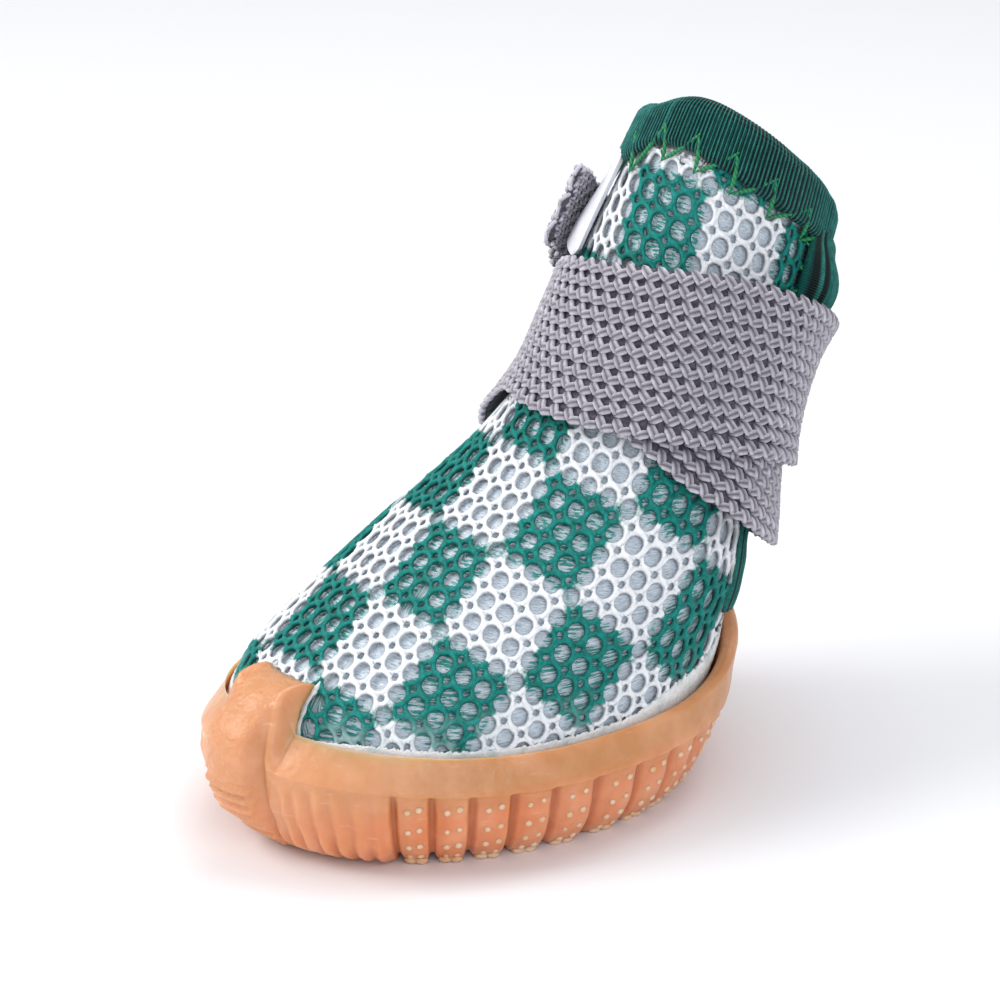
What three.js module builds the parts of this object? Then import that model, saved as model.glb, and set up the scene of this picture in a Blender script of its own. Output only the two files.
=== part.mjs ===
// A dog boot: a moulded gum-rubber cup sole, a hollow air-mesh upper on an egg-shaped last,
// a rib-knit collar binding that runs down the back as a gusset, a braided elastic strap wound
// twice round the shaft, a white hook tape on its front, and a foam insole.
// Millimetres. The toe points to -Y, the boot's left side is +X, and the sole stands on Z = 0.

import * as THREE from "three";
import { mergeVertices } from "three/addons/utils/BufferGeometryUtils.js";

const turn = 2 * Math.PI;
const degrees = (value) => THREE.MathUtils.degToRad(value);

// ---- driving dimensions ---------------------------------------------------------------------

const gap = 0.3; // clearance between pieces that touch
const upperWall = 1.6; // air mesh with its lining
const insoleThickness = 1.5;
const soleFloor = 2.6; // rubber under the insole
const bindingThickness = 1;
const bindingSeat = 0.5; // between the upper and the binding's outer leaf
const strapThickness = 1.2;
const tapeThickness = 0.8;

// The last, as closed sections from the sole up to the collar. station is the distance up the
// shaft, front and back are the section's two ends on the centre plane, halfWidth is to each
// side, squareness is the superellipse power, and sideLift raises the flanks.
const lastBase = soleFloor + gap;
const lastSections = [
  // station, frontY, frontZ, backY, backZ, halfWidth, squareness, sideLift
  [0, -23, lastBase, 18.5, lastBase, 16.5, 2.2, 0],
  [3, -26, 5.3, 22, 5.6, 19, 2.2, 0],
  [6, -27.6, 8.2, 24.5, 8.8, 20.2, 2.2, 0],
  [10, -27.8, 12.5, 27, 13, 20.4, 2.2, 0],
  [14, -25, 17, 28.8, 17, 19.7, 2.2, 0],
  [19, -16.3, 22, 30.4, 20.8, 19, 2.15, 0],
  [25, -5.6, 27.7, 31.4, 25, 17.2, 2.1, 0.5],
  [31, 4, 32.7, 32.2, 29.2, 14.8, 2.1, 1],
  [38, 11.4, 39.3, 33.8, 34.5, 12.4, 2.1, 1.5],
  [46, 15.6, 46.6, 37, 40.3, 11.3, 2.1, 2],
  [54, 19.8, 54.2, 41.4, 45, 11, 2.1, 2],
  [61, 24, 61, 44.2, 48.5, 10.4, 2.1, 2.4],
  [67, 27.2, 66.4, 45.8, 51, 9.6, 2.1, 2.6],
];
const collarStation = 67; // the top edge of the upper
const collarTilt = 0.3;
const collarPeak = 2; // how much higher the edge stands at the front
const collarDip = 2.2;
const collarDipAngle = degrees(-30);
const collarDipWidth = degrees(28);
const toeTaper = 0.1; // how much narrower every section is at its front than at its middle

// ---- shared geometry ------------------------------------------------------------------------

const lerp = (from, to, share) => from + (to - from) * share;
const smooth = (from, to, value) => THREE.MathUtils.smoothstep(value, from, to);
const signedPower = (value, exponent) => Math.sign(value) * Math.abs(value) ** exponent;

// Angle from the front round either side to the back, from 0 to pi.
const fromFront = (angle) => Math.acos(THREE.MathUtils.clamp(Math.cos(angle), -1, 1));

// A table's row at a value of its first column, by a Catmull-Rom blend of the rows round it.
function rowAt(table, value) {
  const last = table.length - 1;
  let row = 0;
  while (row < last - 1 && value > table[row + 1][0]) row += 1;
  const span = table[row + 1][0] - table[row][0];
  const share = THREE.MathUtils.clamp((value - table[row][0]) / span, -1, 2);
  const rows = [-1, 0, 1, 2].map((step) => table[THREE.MathUtils.clamp(row + step, 0, last)]);
  return table[0].map((unused, column) => {
    const [before, start, end, after] = rows.map((values) => values[column]);
    if (share < 0 || share > 1) return lerp(start, end, share);
    const startSlope = (end - before) / 2;
    const endSlope = (after - start) / 2;
    return (
      start * (2 * share ** 3 - 3 * share ** 2 + 1) +
      startSlope * (share ** 3 - 2 * share ** 2 + share) +
      end * (3 * share ** 2 - 2 * share ** 3) +
      endSlope * (share ** 3 - share ** 2)
    );
  });
}

// A point on the upper's outer face, or off it by an offset: angle 0 is the front, pi/2 is +X.
function lastPoint(station, angle, offset = 0) {
  const [, frontY, frontZ, backY, backZ, halfWidth, squareness, sideLift] = rowAt(lastSections, station);
  const halfDepth = Math.hypot(backY - frontY, backZ - frontZ) / 2;
  const along = -signedPower(Math.cos(angle), 2 / squareness) * (1 + offset / halfDepth);
  const across = signedPower(Math.sin(angle), 2 / squareness);
  return new THREE.Vector3(
    across * (halfWidth + offset) * (1 - toeTaper * Math.cos(angle)),
    lerp(frontY, backY, 0.5 + along / 2),
    lerp(frontZ, backZ, 0.5 + along / 2) + sideLift * across * across,
  );
}

// The collar's edge peaks at the front, and dips beside the front closure.
function collarEdge(angle) {
  const fromDip = Math.acos(Math.cos(angle - collarDipAngle)) / collarDipWidth;
  const peak = collarPeak * Math.max(Math.cos(angle), 0) ** 1.5;
  return collarStation + peak + collarTilt * Math.sin(angle) - collarDip * Math.exp(-fromDip * fromDip);
}

// The station at which the last reaches a height at an angle, by halving.
function stationAtHeight(angle, height) {
  let low = 0;
  let high = collarStation;
  for (let step = 0; step < 30; step += 1) {
    const middle = (low + high) / 2;
    if (lastPoint(middle, angle).z < height) low = middle;
    else high = middle;
  }
  return low;
}

// A closed surface through rings of equal length. wrapped joins the last ring to the first, as
// in a tube with a wall; otherwise each end ring is a flat seam that closes on itself.
function loft(rings, wrapped) {
  const columns = rings[0].length;
  const geometry = new THREE.BufferGeometry();
  const positions = rings.flatMap((points) => points.flatMap((point) => point.toArray()));
  geometry.setAttribute("position", new THREE.Float32BufferAttribute(positions, 3));
  const index = [];
  const strips = wrapped ? rings.length : rings.length - 1;
  for (let strip = 0; strip < strips; strip += 1) {
    const lower = strip * columns;
    const upper = ((strip + 1) % rings.length) * columns;
    for (let column = 0; column < columns; column += 1) {
      const next = (column + 1) % columns;
      index.push(lower + column, lower + next, upper + next);
      index.push(lower + column, upper + next, upper + column);
    }
  }
  geometry.setIndex(index);
  return withoutCollapsed(mergeVertices(geometry, 1e-3));
}

// Drops the triangles that lie between points merged into one.
function withoutCollapsed(geometry) {
  const source = Array.from(geometry.index.array);
  const kept = [];
  for (let start = 0; start < source.length; start += 3) {
    const corners = source.slice(start, start + 3);
    if (new Set(corners).size === 3) kept.push(...corners);
  }
  geometry.setIndex(kept);
  geometry.computeVertexNormals();
  return geometry;
}

// One ring of points, the angle running once round from the front.
const ring = (columns, pointAt) =>
  Array.from({ length: columns }, (unused, column) => pointAt((turn * column) / columns));

// ---- upper ----------------------------------------------------------------------------------

const upperColumns = 52;
const upperStations = [0, 3, 6, 10, 14, 18, 22, 27, 32, 38, 45, 53, 61, collarStation];
const collarRegion = 50; // stations above this follow the collar's edge

// One hollow tube of air mesh: up the outer face, over the collar, and down the inside.
function upperGeometry() {
  const fitted = (station, angle) => {
    const share = Math.max(0, (station - collarRegion) / (collarStation - collarRegion));
    return station + share * (collarEdge(angle) - collarStation);
  };
  const face = (offset) =>
    upperStations.map((station) =>
      ring(upperColumns, (angle) => lastPoint(fitted(station, angle), angle, offset)),
    );
  return loft([...face(0), ...face(-upperWall).reverse()], true);
}

// ---- outsole --------------------------------------------------------------------------------

const soleColumns = 118;
const soleHalfLength = 30.8;
const soleHalfWidth = 22.7;
const soleCentreY = -0.2;
const soleSquareness = 2.15;
const lugColumns = 4; // columns of the mesh to one lug
const lugRelief = 0.9;
const treadRelief = 0.9;
const lugsFrom = degrees(45); // the sidewall is smooth ahead of this
const lugPitch = (turn * lugColumns) / soleColumns;
const bumperHalfAngle = degrees(8.5); // of the raised strip over the toe

// The cup's outer profile at its toe, side and heel: inset is how far inside the outline, and
// height is above the floor. The last row is the rim, whose inner edge follows the last.
const soleProfile = [
  // toeInset, toeHeight, sideInset, sideHeight, heelInset, heelHeight, lug, tread
  [13, 0, 9, 0, 14, 0, 0, 1],
  [6.8, 0.3, 4.6, 0, 9.2, 0.2, 0.5, 1],
  [4.2, 1.6, 3, 0.6, 7.6, 1.5, 1, 0.3],
  [2, 3.8, 1.6, 2.4, 6, 3.9, 1, 0],
  [0.5, 7, 0.6, 5, 4.4, 7, 1, 0],
  [0, 10.3, 0.1, 7.8, 2.6, 10.8, 0.6, 0],
  [0.3, 11.6, 0, 8.6, 2, 12, 0, 0],
  [3, 14.2, 0.8, 11.6, 0.4, 16.4, 0, 0],
];
const bumperProfile = [
  // inset, height
  [13, 0],
  [6.5, 0.2],
  [4, 1.3],
  [1.6, 3.6],
  [-0.9, 6.2],
  [-2.3, 10.5],
  [-1.6, 14.4],
  [2.2, 17.8],
];
const rimHeights = { toe: 14, side: 11.6, heel: 16.5, tab: 18.3 };

// Blends a toe, side and heel value round the sole. The heel's share grows faster towards the
// back the sharper it is.
function aroundSole(angle, toe, side, heel, sharpness) {
  const front = Math.max(Math.cos(angle), 0) ** 2;
  const back = Math.max(-Math.cos(angle), 0) ** sharpness;
  return toe * front + heel * back + side * (1 - front - back);
}

const onBumper = (angle) => fromFront(angle) < bumperHalfAngle;

// How deep the groove beside a lug is at an angle: each lug rises to its rear edge and drops.
function grooveShare(angle) {
  const beyond = fromFront(angle) - lugsFrom + lugPitch / (2 * lugColumns);
  if (beyond < 0) return 0;
  const share = (beyond / lugPitch) % 1;
  return share < 0.3 ? 1 : 0.35 * (1 - smooth(0.3, 0.9, share));
}

// Underneath, the grooves run across between ribs with flat tops.
const ribGroove = (angle) => (grooveShare(angle) === 1 ? treadRelief : 0);

// A point on the sole's outline, moved inwards by an inset.
function outlinePoint(angle, inset, height) {
  const across = signedPower(Math.sin(angle), 2 / soleSquareness);
  const along = signedPower(Math.cos(angle), 2 / soleSquareness);
  return new THREE.Vector3(
    across * (soleHalfWidth - inset) * (1 - toeTaper * Math.cos(angle)),
    soleCentreY - along * (soleHalfLength - inset),
    height,
  );
}

function outerSolePoint(row, angle) {
  if (onBumper(angle)) return outlinePoint(angle, ...bumperProfile[row]);
  const [toeInset, toeHeight, sideInset, sideHeight, heelInset, heelHeight, lug, tread] = soleProfile[row];
  const lugInset = grooveShare(angle) * lug * lugRelief;
  const inset = aroundSole(angle, toeInset, sideInset, heelInset, 2) + lugInset;
  const height = aroundSole(angle, toeHeight, sideHeight, heelHeight, 4) + tread * ribGroove(angle);
  return outlinePoint(angle, inset, height);
}

// The bottom and the inner floor both close on the centre line, so ribs run right across.
function seamPoint(angle, height) {
  const reach = soleHalfLength - soleProfile[0][0];
  return new THREE.Vector3(0, soleCentreY - 0.9 * reach * Math.cos(angle), height);
}

const rimHeight = (angle) =>
  onBumper(angle) ? rimHeights.tab : aroundSole(angle, rimHeights.toe, rimHeights.side, rimHeights.heel, 4);

const cupClearance = 0.55; // between the upper and the cup's inner wall
const tabClearance = 1.05; // and behind the strip over the toe
const innerShares = [1, 0.85, 0.7, 0.55, 0.4, 0.26, 0.12]; // heights of the inner wall's rings, of the rim's

function outsoleGeometry() {
  const innerWall = (share) => (angle) => {
    const rimStation = stationAtHeight(angle, rimHeight(angle));
    return lastPoint(rimStation * share, angle, onBumper(angle) ? tabClearance : cupClearance);
  };
  const rings = [
    ring(soleColumns, (angle) => seamPoint(angle, ribGroove(angle))),
    ...soleProfile.map((unused, row) => ring(soleColumns, (angle) => outerSolePoint(row, angle))),
    ...innerShares.map((share) => ring(soleColumns, innerWall(share))),
    ring(soleColumns, (angle) => lastPoint(0, angle, cupClearance).setZ(soleFloor)),
    ring(soleColumns, (angle) => seamPoint(angle, soleFloor)),
  ];
  return loft(rings, false);
}

// ---- insole ---------------------------------------------------------------------------------

const insoleColumns = 56;

function insoleGeometry() {
  const edge = (height) =>
    ring(insoleColumns, (angle) => {
      const station = stationAtHeight(angle, height);
      return lastPoint(station, angle, -upperWall - gap).setZ(height);
    });
  const seam = (height) => ring(insoleColumns, (angle) => seamPoint(angle, height));
  const bottom = lastBase;
  const top = lastBase + insoleThickness;
  return loft([seam(bottom), edge(bottom), edge(top), seam(top)], false);
}

// ---- collar binding -------------------------------------------------------------------------

const bindingColumns = 60;
const bindingDepth = { front: 4, back: 8 }; // how far it reaches down outside
const bindingInsideDepth = 5;
const gussetFrom = degrees(128); // the strip down the back spans from here to the other side
const gussetFade = degrees(24); // over which it widens up into the collar
const gussetFoot = 17; // station of its lower end, above the sole's rim
const bindingRows = 9;

// How much of an angle the gusset covers, and so how far down the outer leaf reaches there.
const gussetShare = (angle) => smooth(gussetFrom - gussetFade, gussetFrom, fromFront(angle));

// A folded elastic: a channel over the upper's top edge, its outer leaf long at the back.
function bindingGeometry() {
  const depth = (angle) => lerp(bindingDepth.front, bindingDepth.back, fromFront(angle) / Math.PI);
  const foot = (angle) => lerp(collarEdge(angle) - depth(angle), gussetFoot, gussetShare(angle));
  const leaf = (share, offset) =>
    ring(bindingColumns, (angle) => lastPoint(lerp(foot(angle), collarEdge(angle), share), angle, offset));
  const at = (above, offset) =>
    ring(bindingColumns, (angle) => lastPoint(collarEdge(angle) + above, angle, offset));
  const shares = Array.from({ length: bindingRows }, (unused, row) => row / (bindingRows - 1));
  const outer = bindingSeat + bindingThickness;
  const inner = -upperWall - gap;
  return loft(
    [
      ...shares.map((share) => leaf(share, outer)),
      at(gap + bindingThickness, 0),
      at(gap + bindingThickness, -upperWall),
      at(0, inner - bindingThickness),
      at(-bindingInsideDepth, inner - bindingThickness),
      at(-bindingInsideDepth, inner),
      at(gap, inner),
      at(gap, bindingSeat),
      ...shares.toReversed().map((share) => leaf(share, bindingSeat)),
    ],
    true,
  );
}

// ---- strap ----------------------------------------------------------------------------------

const strapStation = 44; // of its middle, on the outer turn at the front
const strapRows = 4; // points across the band
const strapStep = degrees(9);
const strapStart = degrees(6);

// The strap's path: wound is the angle wound so far, rise lifts the band's middle up the shaft,
// and flare holds it off the shaft. The free end stands off the front, above the outer turn.
const strapRaiseFrom = degrees(296); // the first turn climbs over its own start here
const strapRaiseTo = degrees(358);
const strapPath = [
  // wound, rise, flare, width
  [0, 2, 0, 17],
  [45, 1, 0, 17],
  [90, -5, 0.38, 17],
  [140, -13, 0.6, 17],
  [180, -15.5, 0.85, 17],
  [270, -7, 0.85, 16],
  [320, -0.6, 0, 14],
  [360, 1, 0, 15.5],
  [450, 0.5, 0.4, 18],
  [540, -3, 0.75, 18],
  [610, 2, 1.05, 16],
  [650, 8, 1.2, 11.5],
  [672, 9.6, 1.5, 9.5],
  [688, 10, 2.15, 9.5],
];

// A band of elastic from strapPath, each turn lying clear of the one under it.
function strapGeometry() {
  const lastAngle = strapPath[strapPath.length - 1][0];
  const steps = Math.ceil((degrees(lastAngle) - strapStart) / strapStep);
  const sectionPoints = (step) => {
    const wound = lerp(strapStart, degrees(lastAngle), step / steps);
    const [, rise, flare, width] = rowAt(strapPath, THREE.MathUtils.radToDeg(wound));
    const overGusset = gussetShare(fromFront(wound) + gussetFade);
    const seat = gap + overGusset * (bindingSeat + bindingThickness);
    const layer = (strapThickness + gap) * smooth(strapRaiseFrom, strapRaiseTo, wound);
    const edge = (row, lift) =>
      lastPoint(
        strapStation + rise + width * (row / (strapRows - 1) - 0.5),
        wound,
        seat + layer + flare + lift,
      );
    const inner = Array.from({ length: strapRows }, (unused, row) => edge(row, 0));
    const outer = Array.from({ length: strapRows }, (unused, row) => edge(row, strapThickness));
    return { inner, outer };
  };
  const sections = Array.from({ length: steps + 1 }, (unused, step) => sectionPoints(step));
  const loop = ({ inner, outer }) => [...inner, ...outer.toReversed()];
  const pinched = ({ inner, outer }) => {
    const middle = inner.map((point, row) => point.clone().lerp(outer[row], 0.5));
    return [...middle, ...middle.toReversed()];
  };
  return loft([pinched(sections[0]), ...sections.map(loop), pinched(sections[steps])], false);
}

// ---- hook tape ------------------------------------------------------------------------------

const tapeFrom = degrees(-62);
const tapeTo = degrees(-30);
const tapeColumns = 9;
const tapeStations = [53.5, 54.8, 56.1, 57.4, 58.7];
const tapeFlare = 1.2;

// A thin strip up the shaft's front, its lower corner standing off.
function tapeGeometry() {
  const top = tapeStations[tapeStations.length - 1];
  const sections = tapeStations.map((station) => {
    const lifted = tapeFlare * (1 - smooth(tapeStations[0], top, station));
    const edge = (offset) =>
      Array.from({ length: tapeColumns }, (unused, column) => {
        const share = column / (tapeColumns - 1);
        return lastPoint(station, lerp(tapeFrom, tapeTo, share), gap + lifted * (1 - share) + offset);
      });
    return { inner: edge(0), outer: edge(tapeThickness) };
  });
  const loop = ({ inner, outer }) => [...outer, ...inner.toReversed()];
  const pinched = ({ inner, outer }) => {
    const middle = inner.map((point, column) => point.clone().lerp(outer[column], 0.5));
    return [...middle, ...middle.toReversed()];
  };
  return loft([pinched(sections[0]), ...sections.map(loop), pinched(sections.at(-1))], false);
}

// ---- assembly -------------------------------------------------------------------------------

function piece(name, geometry, color, roughness) {
  const look = new THREE.MeshStandardMaterial({ color, roughness, metalness: 0 });
  const mesh = new THREE.Mesh(geometry, look);
  mesh.name = name;
  return mesh;
}

const middleY = 7; // the middle of the whole boot's length, where the origin is

const boot = new THREE.Group();
boot.position.y = -middleY;
boot.add(
  piece("outsole", outsoleGeometry(), 0xe0a070, 0.45),
  piece("upper", upperGeometry(), 0x1f8f78, 0.9),
  piece("insole", insoleGeometry(), 0x3a3c40, 0.9),
  piece("collar_binding", bindingGeometry(), 0x0c4f44, 0.85),
  piece("strap", strapGeometry(), 0xa9a4b2, 0.85),
  piece("hook_tape", tapeGeometry(), 0xe6e6f0, 0.5),
);

export default boot;
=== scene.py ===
import math

import bpy
import numpy as np
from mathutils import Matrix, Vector
from mathutils.kdtree import KDTree


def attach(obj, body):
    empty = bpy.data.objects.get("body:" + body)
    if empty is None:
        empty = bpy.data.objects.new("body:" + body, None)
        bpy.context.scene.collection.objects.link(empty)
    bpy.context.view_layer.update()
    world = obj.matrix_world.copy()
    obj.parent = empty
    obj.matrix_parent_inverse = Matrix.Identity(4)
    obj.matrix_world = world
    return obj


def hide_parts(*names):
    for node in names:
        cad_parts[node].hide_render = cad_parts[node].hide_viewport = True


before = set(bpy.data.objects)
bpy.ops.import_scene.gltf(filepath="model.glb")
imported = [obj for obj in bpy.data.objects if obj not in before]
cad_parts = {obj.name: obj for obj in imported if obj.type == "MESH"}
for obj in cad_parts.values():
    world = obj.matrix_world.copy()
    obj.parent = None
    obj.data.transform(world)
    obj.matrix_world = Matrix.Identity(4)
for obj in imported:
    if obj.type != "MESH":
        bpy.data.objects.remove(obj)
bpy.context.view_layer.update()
print("dog boot: frame loaded")

mm = 0.001  # every size below is in millimetres, until a point is written to a mesh
turn = 2 * math.pi
middleY = 7  # the middle of the boot's length, where the origin is
shaftLean = 0.55  # how far back the boot's middle moves for every millimetre up
fitGap = 0.3  # between soft pieces that lie on each other


def smooth(low, high, value):
    share = np.clip((value - low) / (high - low), 0, 1)
    return share * share * (3 - 2 * share)


def window(rise, fall, value):  # up from 0 to 1 over the first pair of values and back over the second
    return smooth(*rise, value) * (1 - smooth(*fall, value))


def mix(first, second, share):
    return first + (second - first) * share


def signedPower(value, exponent):
    return np.sign(value) * np.abs(value) ** exponent


def fromFront(angle):  # 0 at the toe, pi at the heel, the same on both sides
    return np.arccos(np.clip(np.cos(angle), -1, 1))


def rowAt(table, value):  # a table's row at a value of its first column, blended smoothly
    rows, value = np.asarray(table, float), np.asarray(value, float)
    stops = rows[:, 0]
    row = np.clip(np.searchsorted(stops, value) - 1, 0, len(stops) - 2)
    share = np.clip((value - stops[row]) / (stops[row + 1] - stops[row]), -1, 2)[..., None]
    before, start = rows[np.maximum(row - 1, 0)], rows[row]
    end, after = rows[row + 1], rows[np.minimum(row + 2, len(stops) - 1)]
    startSlope, endSlope = (end - before) / 2, (after - start) / 2
    curved = (start * (2 * share**3 - 3 * share**2 + 1) + startSlope * (share**3 - 2 * share**2 + share)
              + end * (3 * share**2 - 2 * share**3) + endSlope * (share**3 - share**2))
    return np.where((share < 0) | (share > 1), mix(start, end, share), curved)


def ripple(*phases):  # a soft uneven wave between about -1 and 1, the same on every run
    total = 0
    for step, phase in enumerate(phases):
        total = total + np.sin(phase * (1.7 + 0.37 * step) + 1.3 * step)
        total = total + 0.6 * np.sin(phase * (3.9 - 0.23 * step) + 2.1 * step + 0.5)
    return total / (1.6 * len(phases))


def deselectAll():
    bpy.ops.object.select_all(action="DESELECT")


def makeActive(piece):
    deselectAll()
    piece.select_set(True)
    bpy.context.view_layer.objects.active = piece


def readPoints(piece):
    points = np.empty(len(piece.data.vertices) * 3, np.float32)
    piece.data.vertices.foreach_get("co", points)
    return points.reshape(-1, 3).astype(float)


def writePoints(piece, points):
    metres = np.ascontiguousarray(np.asarray(points) * mm, np.float32)
    piece.data.vertices.foreach_set("co", metres.ravel())
    piece.data.update()


def setUv(piece, perVertex, name="UVMap"):
    layer = piece.data.uv_layers.get(name) or piece.data.uv_layers.new(name=name)
    corners = np.empty(len(piece.data.loops), np.int32)
    piece.data.loops.foreach_get("vertex_index", corners)
    layer.data.foreach_set("uv", np.ascontiguousarray(perVertex[corners], np.float32).ravel())


def setShare(piece, name, perVertex):  # a number at every vertex, for the material to read
    attribute = piece.data.attributes.new(name, "FLOAT", "POINT")
    attribute.data.foreach_set("value", np.ascontiguousarray(perVertex, np.float32))


def editMesh(piece, *steps, chosen=None, kind="polygons"):  # each step acts on the chosen faces, or on all
    makeActive(piece)
    bpy.ops.object.mode_set(mode="EDIT")
    bpy.ops.mesh.select_all(action="SELECT" if chosen is None else "DESELECT")
    if chosen is not None:
        bpy.ops.object.mode_set(mode="OBJECT")
        getattr(piece.data, kind).foreach_set("select", chosen)
        bpy.ops.object.mode_set(mode="EDIT")
    for step in steps:
        step()
    bpy.ops.object.mode_set(mode="OBJECT")


def mergeDoubles():
    bpy.ops.mesh.remove_doubles(threshold=0.005 * mm)


def faceOutwards():
    bpy.ops.mesh.normals_make_consistent(inside=False)


def faceAway(piece):
    # an open sheet is turned over if most of it faces the middle of the boot
    faces = piece.data.polygons
    normals, centres = np.empty(len(faces) * 3, np.float32), np.empty(len(faces) * 3, np.float32)
    faces.foreach_get("normal", normals)
    faces.foreach_get("center", centres)
    normals, centres = normals.reshape(-1, 3), centres.reshape(-1, 3)
    heights = centres[:, 2]
    middle = np.stack([0 * heights, shaftLean * heights - middleY * mm, heights], -1)
    if (normals * (centres - middle)).sum() < 0:
        editMesh(piece, bpy.ops.mesh.flip_normals)


def shadeSmooth(piece, degrees=None):
    makeActive(piece)
    if degrees is None:
        bpy.ops.object.shade_smooth()
    else:
        bpy.ops.object.shade_smooth_by_angle(angle=math.radians(degrees))


def finishSheet(piece, thickness, degrees=None):  # the wall grows inwards from the sheet
    faceAway(piece)
    makeActive(piece)
    bpy.ops.object.modifier_add(type="SOLIDIFY")
    wall = piece.modifiers[-1]
    wall.thickness = thickness * mm
    wall.offset = -1
    bpy.ops.object.modifier_apply(modifier=wall.name)
    shadeSmooth(piece, degrees)
    return piece


def finishSolid(piece):
    editMesh(piece, mergeDoubles, faceOutwards)
    shadeSmooth(piece)
    return piece


def gridPiece(name, columns, rows, placeAt, uvAt=None, joined=False):
    # a grid whose corners run 0 to 1 each way, moved to its place in the boot
    deselectAll()
    bpy.ops.mesh.primitive_grid_add(x_subdivisions=columns, y_subdivisions=rows, size=1)
    piece = bpy.context.object
    piece.name = name
    across, up = (readPoints(piece)[:, :2] + 0.5).T
    if uvAt is not None:
        setUv(piece, np.stack(uvAt(across, up), -1))
    writePoints(piece, placeAt(across, up))
    if joined:
        editMesh(piece, mergeDoubles)
    return piece


def repeatPiece(name, pattern, origins, sides, fronts, ups, along=None):
    # one joined mesh with the pattern at every origin, its X, Y and Z along the three given arrows
    shape = readPoints(pattern) / mm
    faces = [tuple(face.vertices) for face in pattern.data.polygons]
    bpy.data.objects.remove(pattern)
    points = origins[:, None] + sum(shape[None, :, axis:axis + 1] * arrows[:, None]
                                    for axis, arrows in enumerate((sides, fronts, ups)))
    size = len(shape)
    starts = [copy * size for copy in range(len(origins))]
    everyFace = [tuple(corner + start for corner in face) for start in starts for face in faces]
    mesh = bpy.data.meshes.new(name)
    mesh.from_pydata((points.reshape(-1, 3) * mm).tolist(), [], everyFace)
    piece = bpy.data.objects.new(name, mesh)
    bpy.context.scene.collection.objects.link(piece)
    if along is not None:
        setShare(piece, "along", np.repeat(along, size))
    editMesh(piece, faceOutwards)
    shadeSmooth(piece)
    return piece


def finishPiece(piece, material, slotName, *nodes):
    piece.data.materials.clear()
    piece.data.materials.append(material)
    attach(piece, "root")
    if nodes:
        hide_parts(*nodes)
    triangles = sum(len(face.vertices) - 2 for face in piece.data.polygons)
    print("dog boot:", piece.name, triangles, "triangles")


def unit(arrows):
    return arrows / (np.linalg.norm(arrows, axis=-1, keepdims=True) + 1e-12)


def feed(node, **inputs):  # numbers go on the node's own sockets, and other nodes' outputs are linked
    for key, value in inputs.items():
        socket = node.inputs[int(key[5:])] if key.startswith("input") else node.inputs[key.replace("_", " ")]
        if isinstance(value, bpy.types.NodeSocket):
            node.id_data.links.new(value, socket)
        else:
            socket.default_value = value


def newMaterial(name, color, roughness):
    material = bpy.data.materials.new(name)
    material.use_nodes = True
    tree = material.node_tree
    shader = tree.nodes["Principled BSDF"]
    feed(shader, Base_Color=(*color, 1), Roughness=roughness)
    return material, tree, shader


def addNode(tree, kind, settings=None, **inputs):
    node = tree.nodes.new(kind)
    for key, value in (settings or {}).items():
        setattr(node, key, value)
    feed(node, **inputs)
    return node


def maths(tree, operation, first, second=0.0):
    return addNode(tree, "ShaderNodeMath", {"operation": operation}, input0=first, input1=second).outputs[0]


def scaleAdd(tree, value, factor, plus):
    return addNode(tree, "ShaderNodeMath", {"operation": "MULTIPLY_ADD"},
                   input0=value, input1=factor, input2=plus).outputs[0]


def ramp(tree, value, *stops):  # stops are (place, colour or grey)
    node = addNode(tree, "ShaderNodeValToRGB", None, Fac=value)
    elements = node.color_ramp.elements
    while len(elements) < len(stops):
        elements.new(0.5)
    for element, (place, color) in zip(elements, stops):
        element.position = place
        element.color = (*color, 1) if isinstance(color, tuple) else (color, color, color, 1)
    return node.outputs["Color"]


def blendColors(tree, share, first, second, kind="MIX"):
    first, second = ((*color, 1) if isinstance(color, tuple) else color for color in (first, second))
    node = addNode(tree, "ShaderNodeMix", {"data_type": "RGBA", "blend_type": kind},
                   input0=share, input6=first, input7=second)
    return node.outputs[2]


def noise(tree, vector, scale, detail=2.0, roughness=0.5, stretch=None):
    if stretch:
        vector = addNode(tree, "ShaderNodeMapping", None, Vector=vector, Scale=stretch).outputs[0]
    return addNode(tree, "ShaderNodeTexNoise", None, Vector=vector, Scale=scale, Detail=detail,
                   Roughness=roughness).outputs[0]


def bump(tree, shader, height, strength, distance):
    node = addNode(tree, "ShaderNodeBump", None, Height=height, Strength=strength, Distance=distance * mm)
    feed(shader, Normal=node.outputs[0])


def scatterLight(shader, weight, radius, scale):
    feed(shader, Subsurface_Weight=weight, Subsurface_Radius=radius, Subsurface_Scale=scale * mm)


def objectCoords(tree):
    return addNode(tree, "ShaderNodeTexCoord").outputs["Object"]


def uvCoords(tree, name="UVMap"):
    return addNode(tree, "ShaderNodeUVMap", {"uv_map": name}).outputs[0]


def shareOf(tree, name):
    return addNode(tree, "ShaderNodeAttribute", {"attribute_name": name}).outputs["Fac"]


def separate(tree, vector):
    return addNode(tree, "ShaderNodeSeparateXYZ", None, Vector=vector).outputs


view = {
    "azimuth": 50, "elevation": 22,
    "distance": 500, "target": (-6.0, 2.0, 27.0),
    "framed": 106.0,  # width seen at the target
    "sensor": 36,
}


def makeCamera():
    azimuth, elevation = math.radians(view["azimuth"]), math.radians(view["elevation"])
    back = Vector((math.sin(azimuth) * math.cos(elevation), -math.cos(azimuth) * math.cos(elevation),
                   math.sin(elevation)))
    lens = bpy.data.cameras.new("camera")
    lens.sensor_width = view["sensor"]
    lens.lens = view["sensor"] * view["distance"] / view["framed"]
    lens.clip_start = 0.01
    camera = bpy.data.objects.new("camera", lens)
    camera.location = (Vector(view["target"]) + back * view["distance"]) * mm
    camera.rotation_euler = back.to_track_quat("Z", "Y").to_euler()
    bpy.context.scene.collection.objects.link(camera)
    bpy.context.scene.camera = camera


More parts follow.
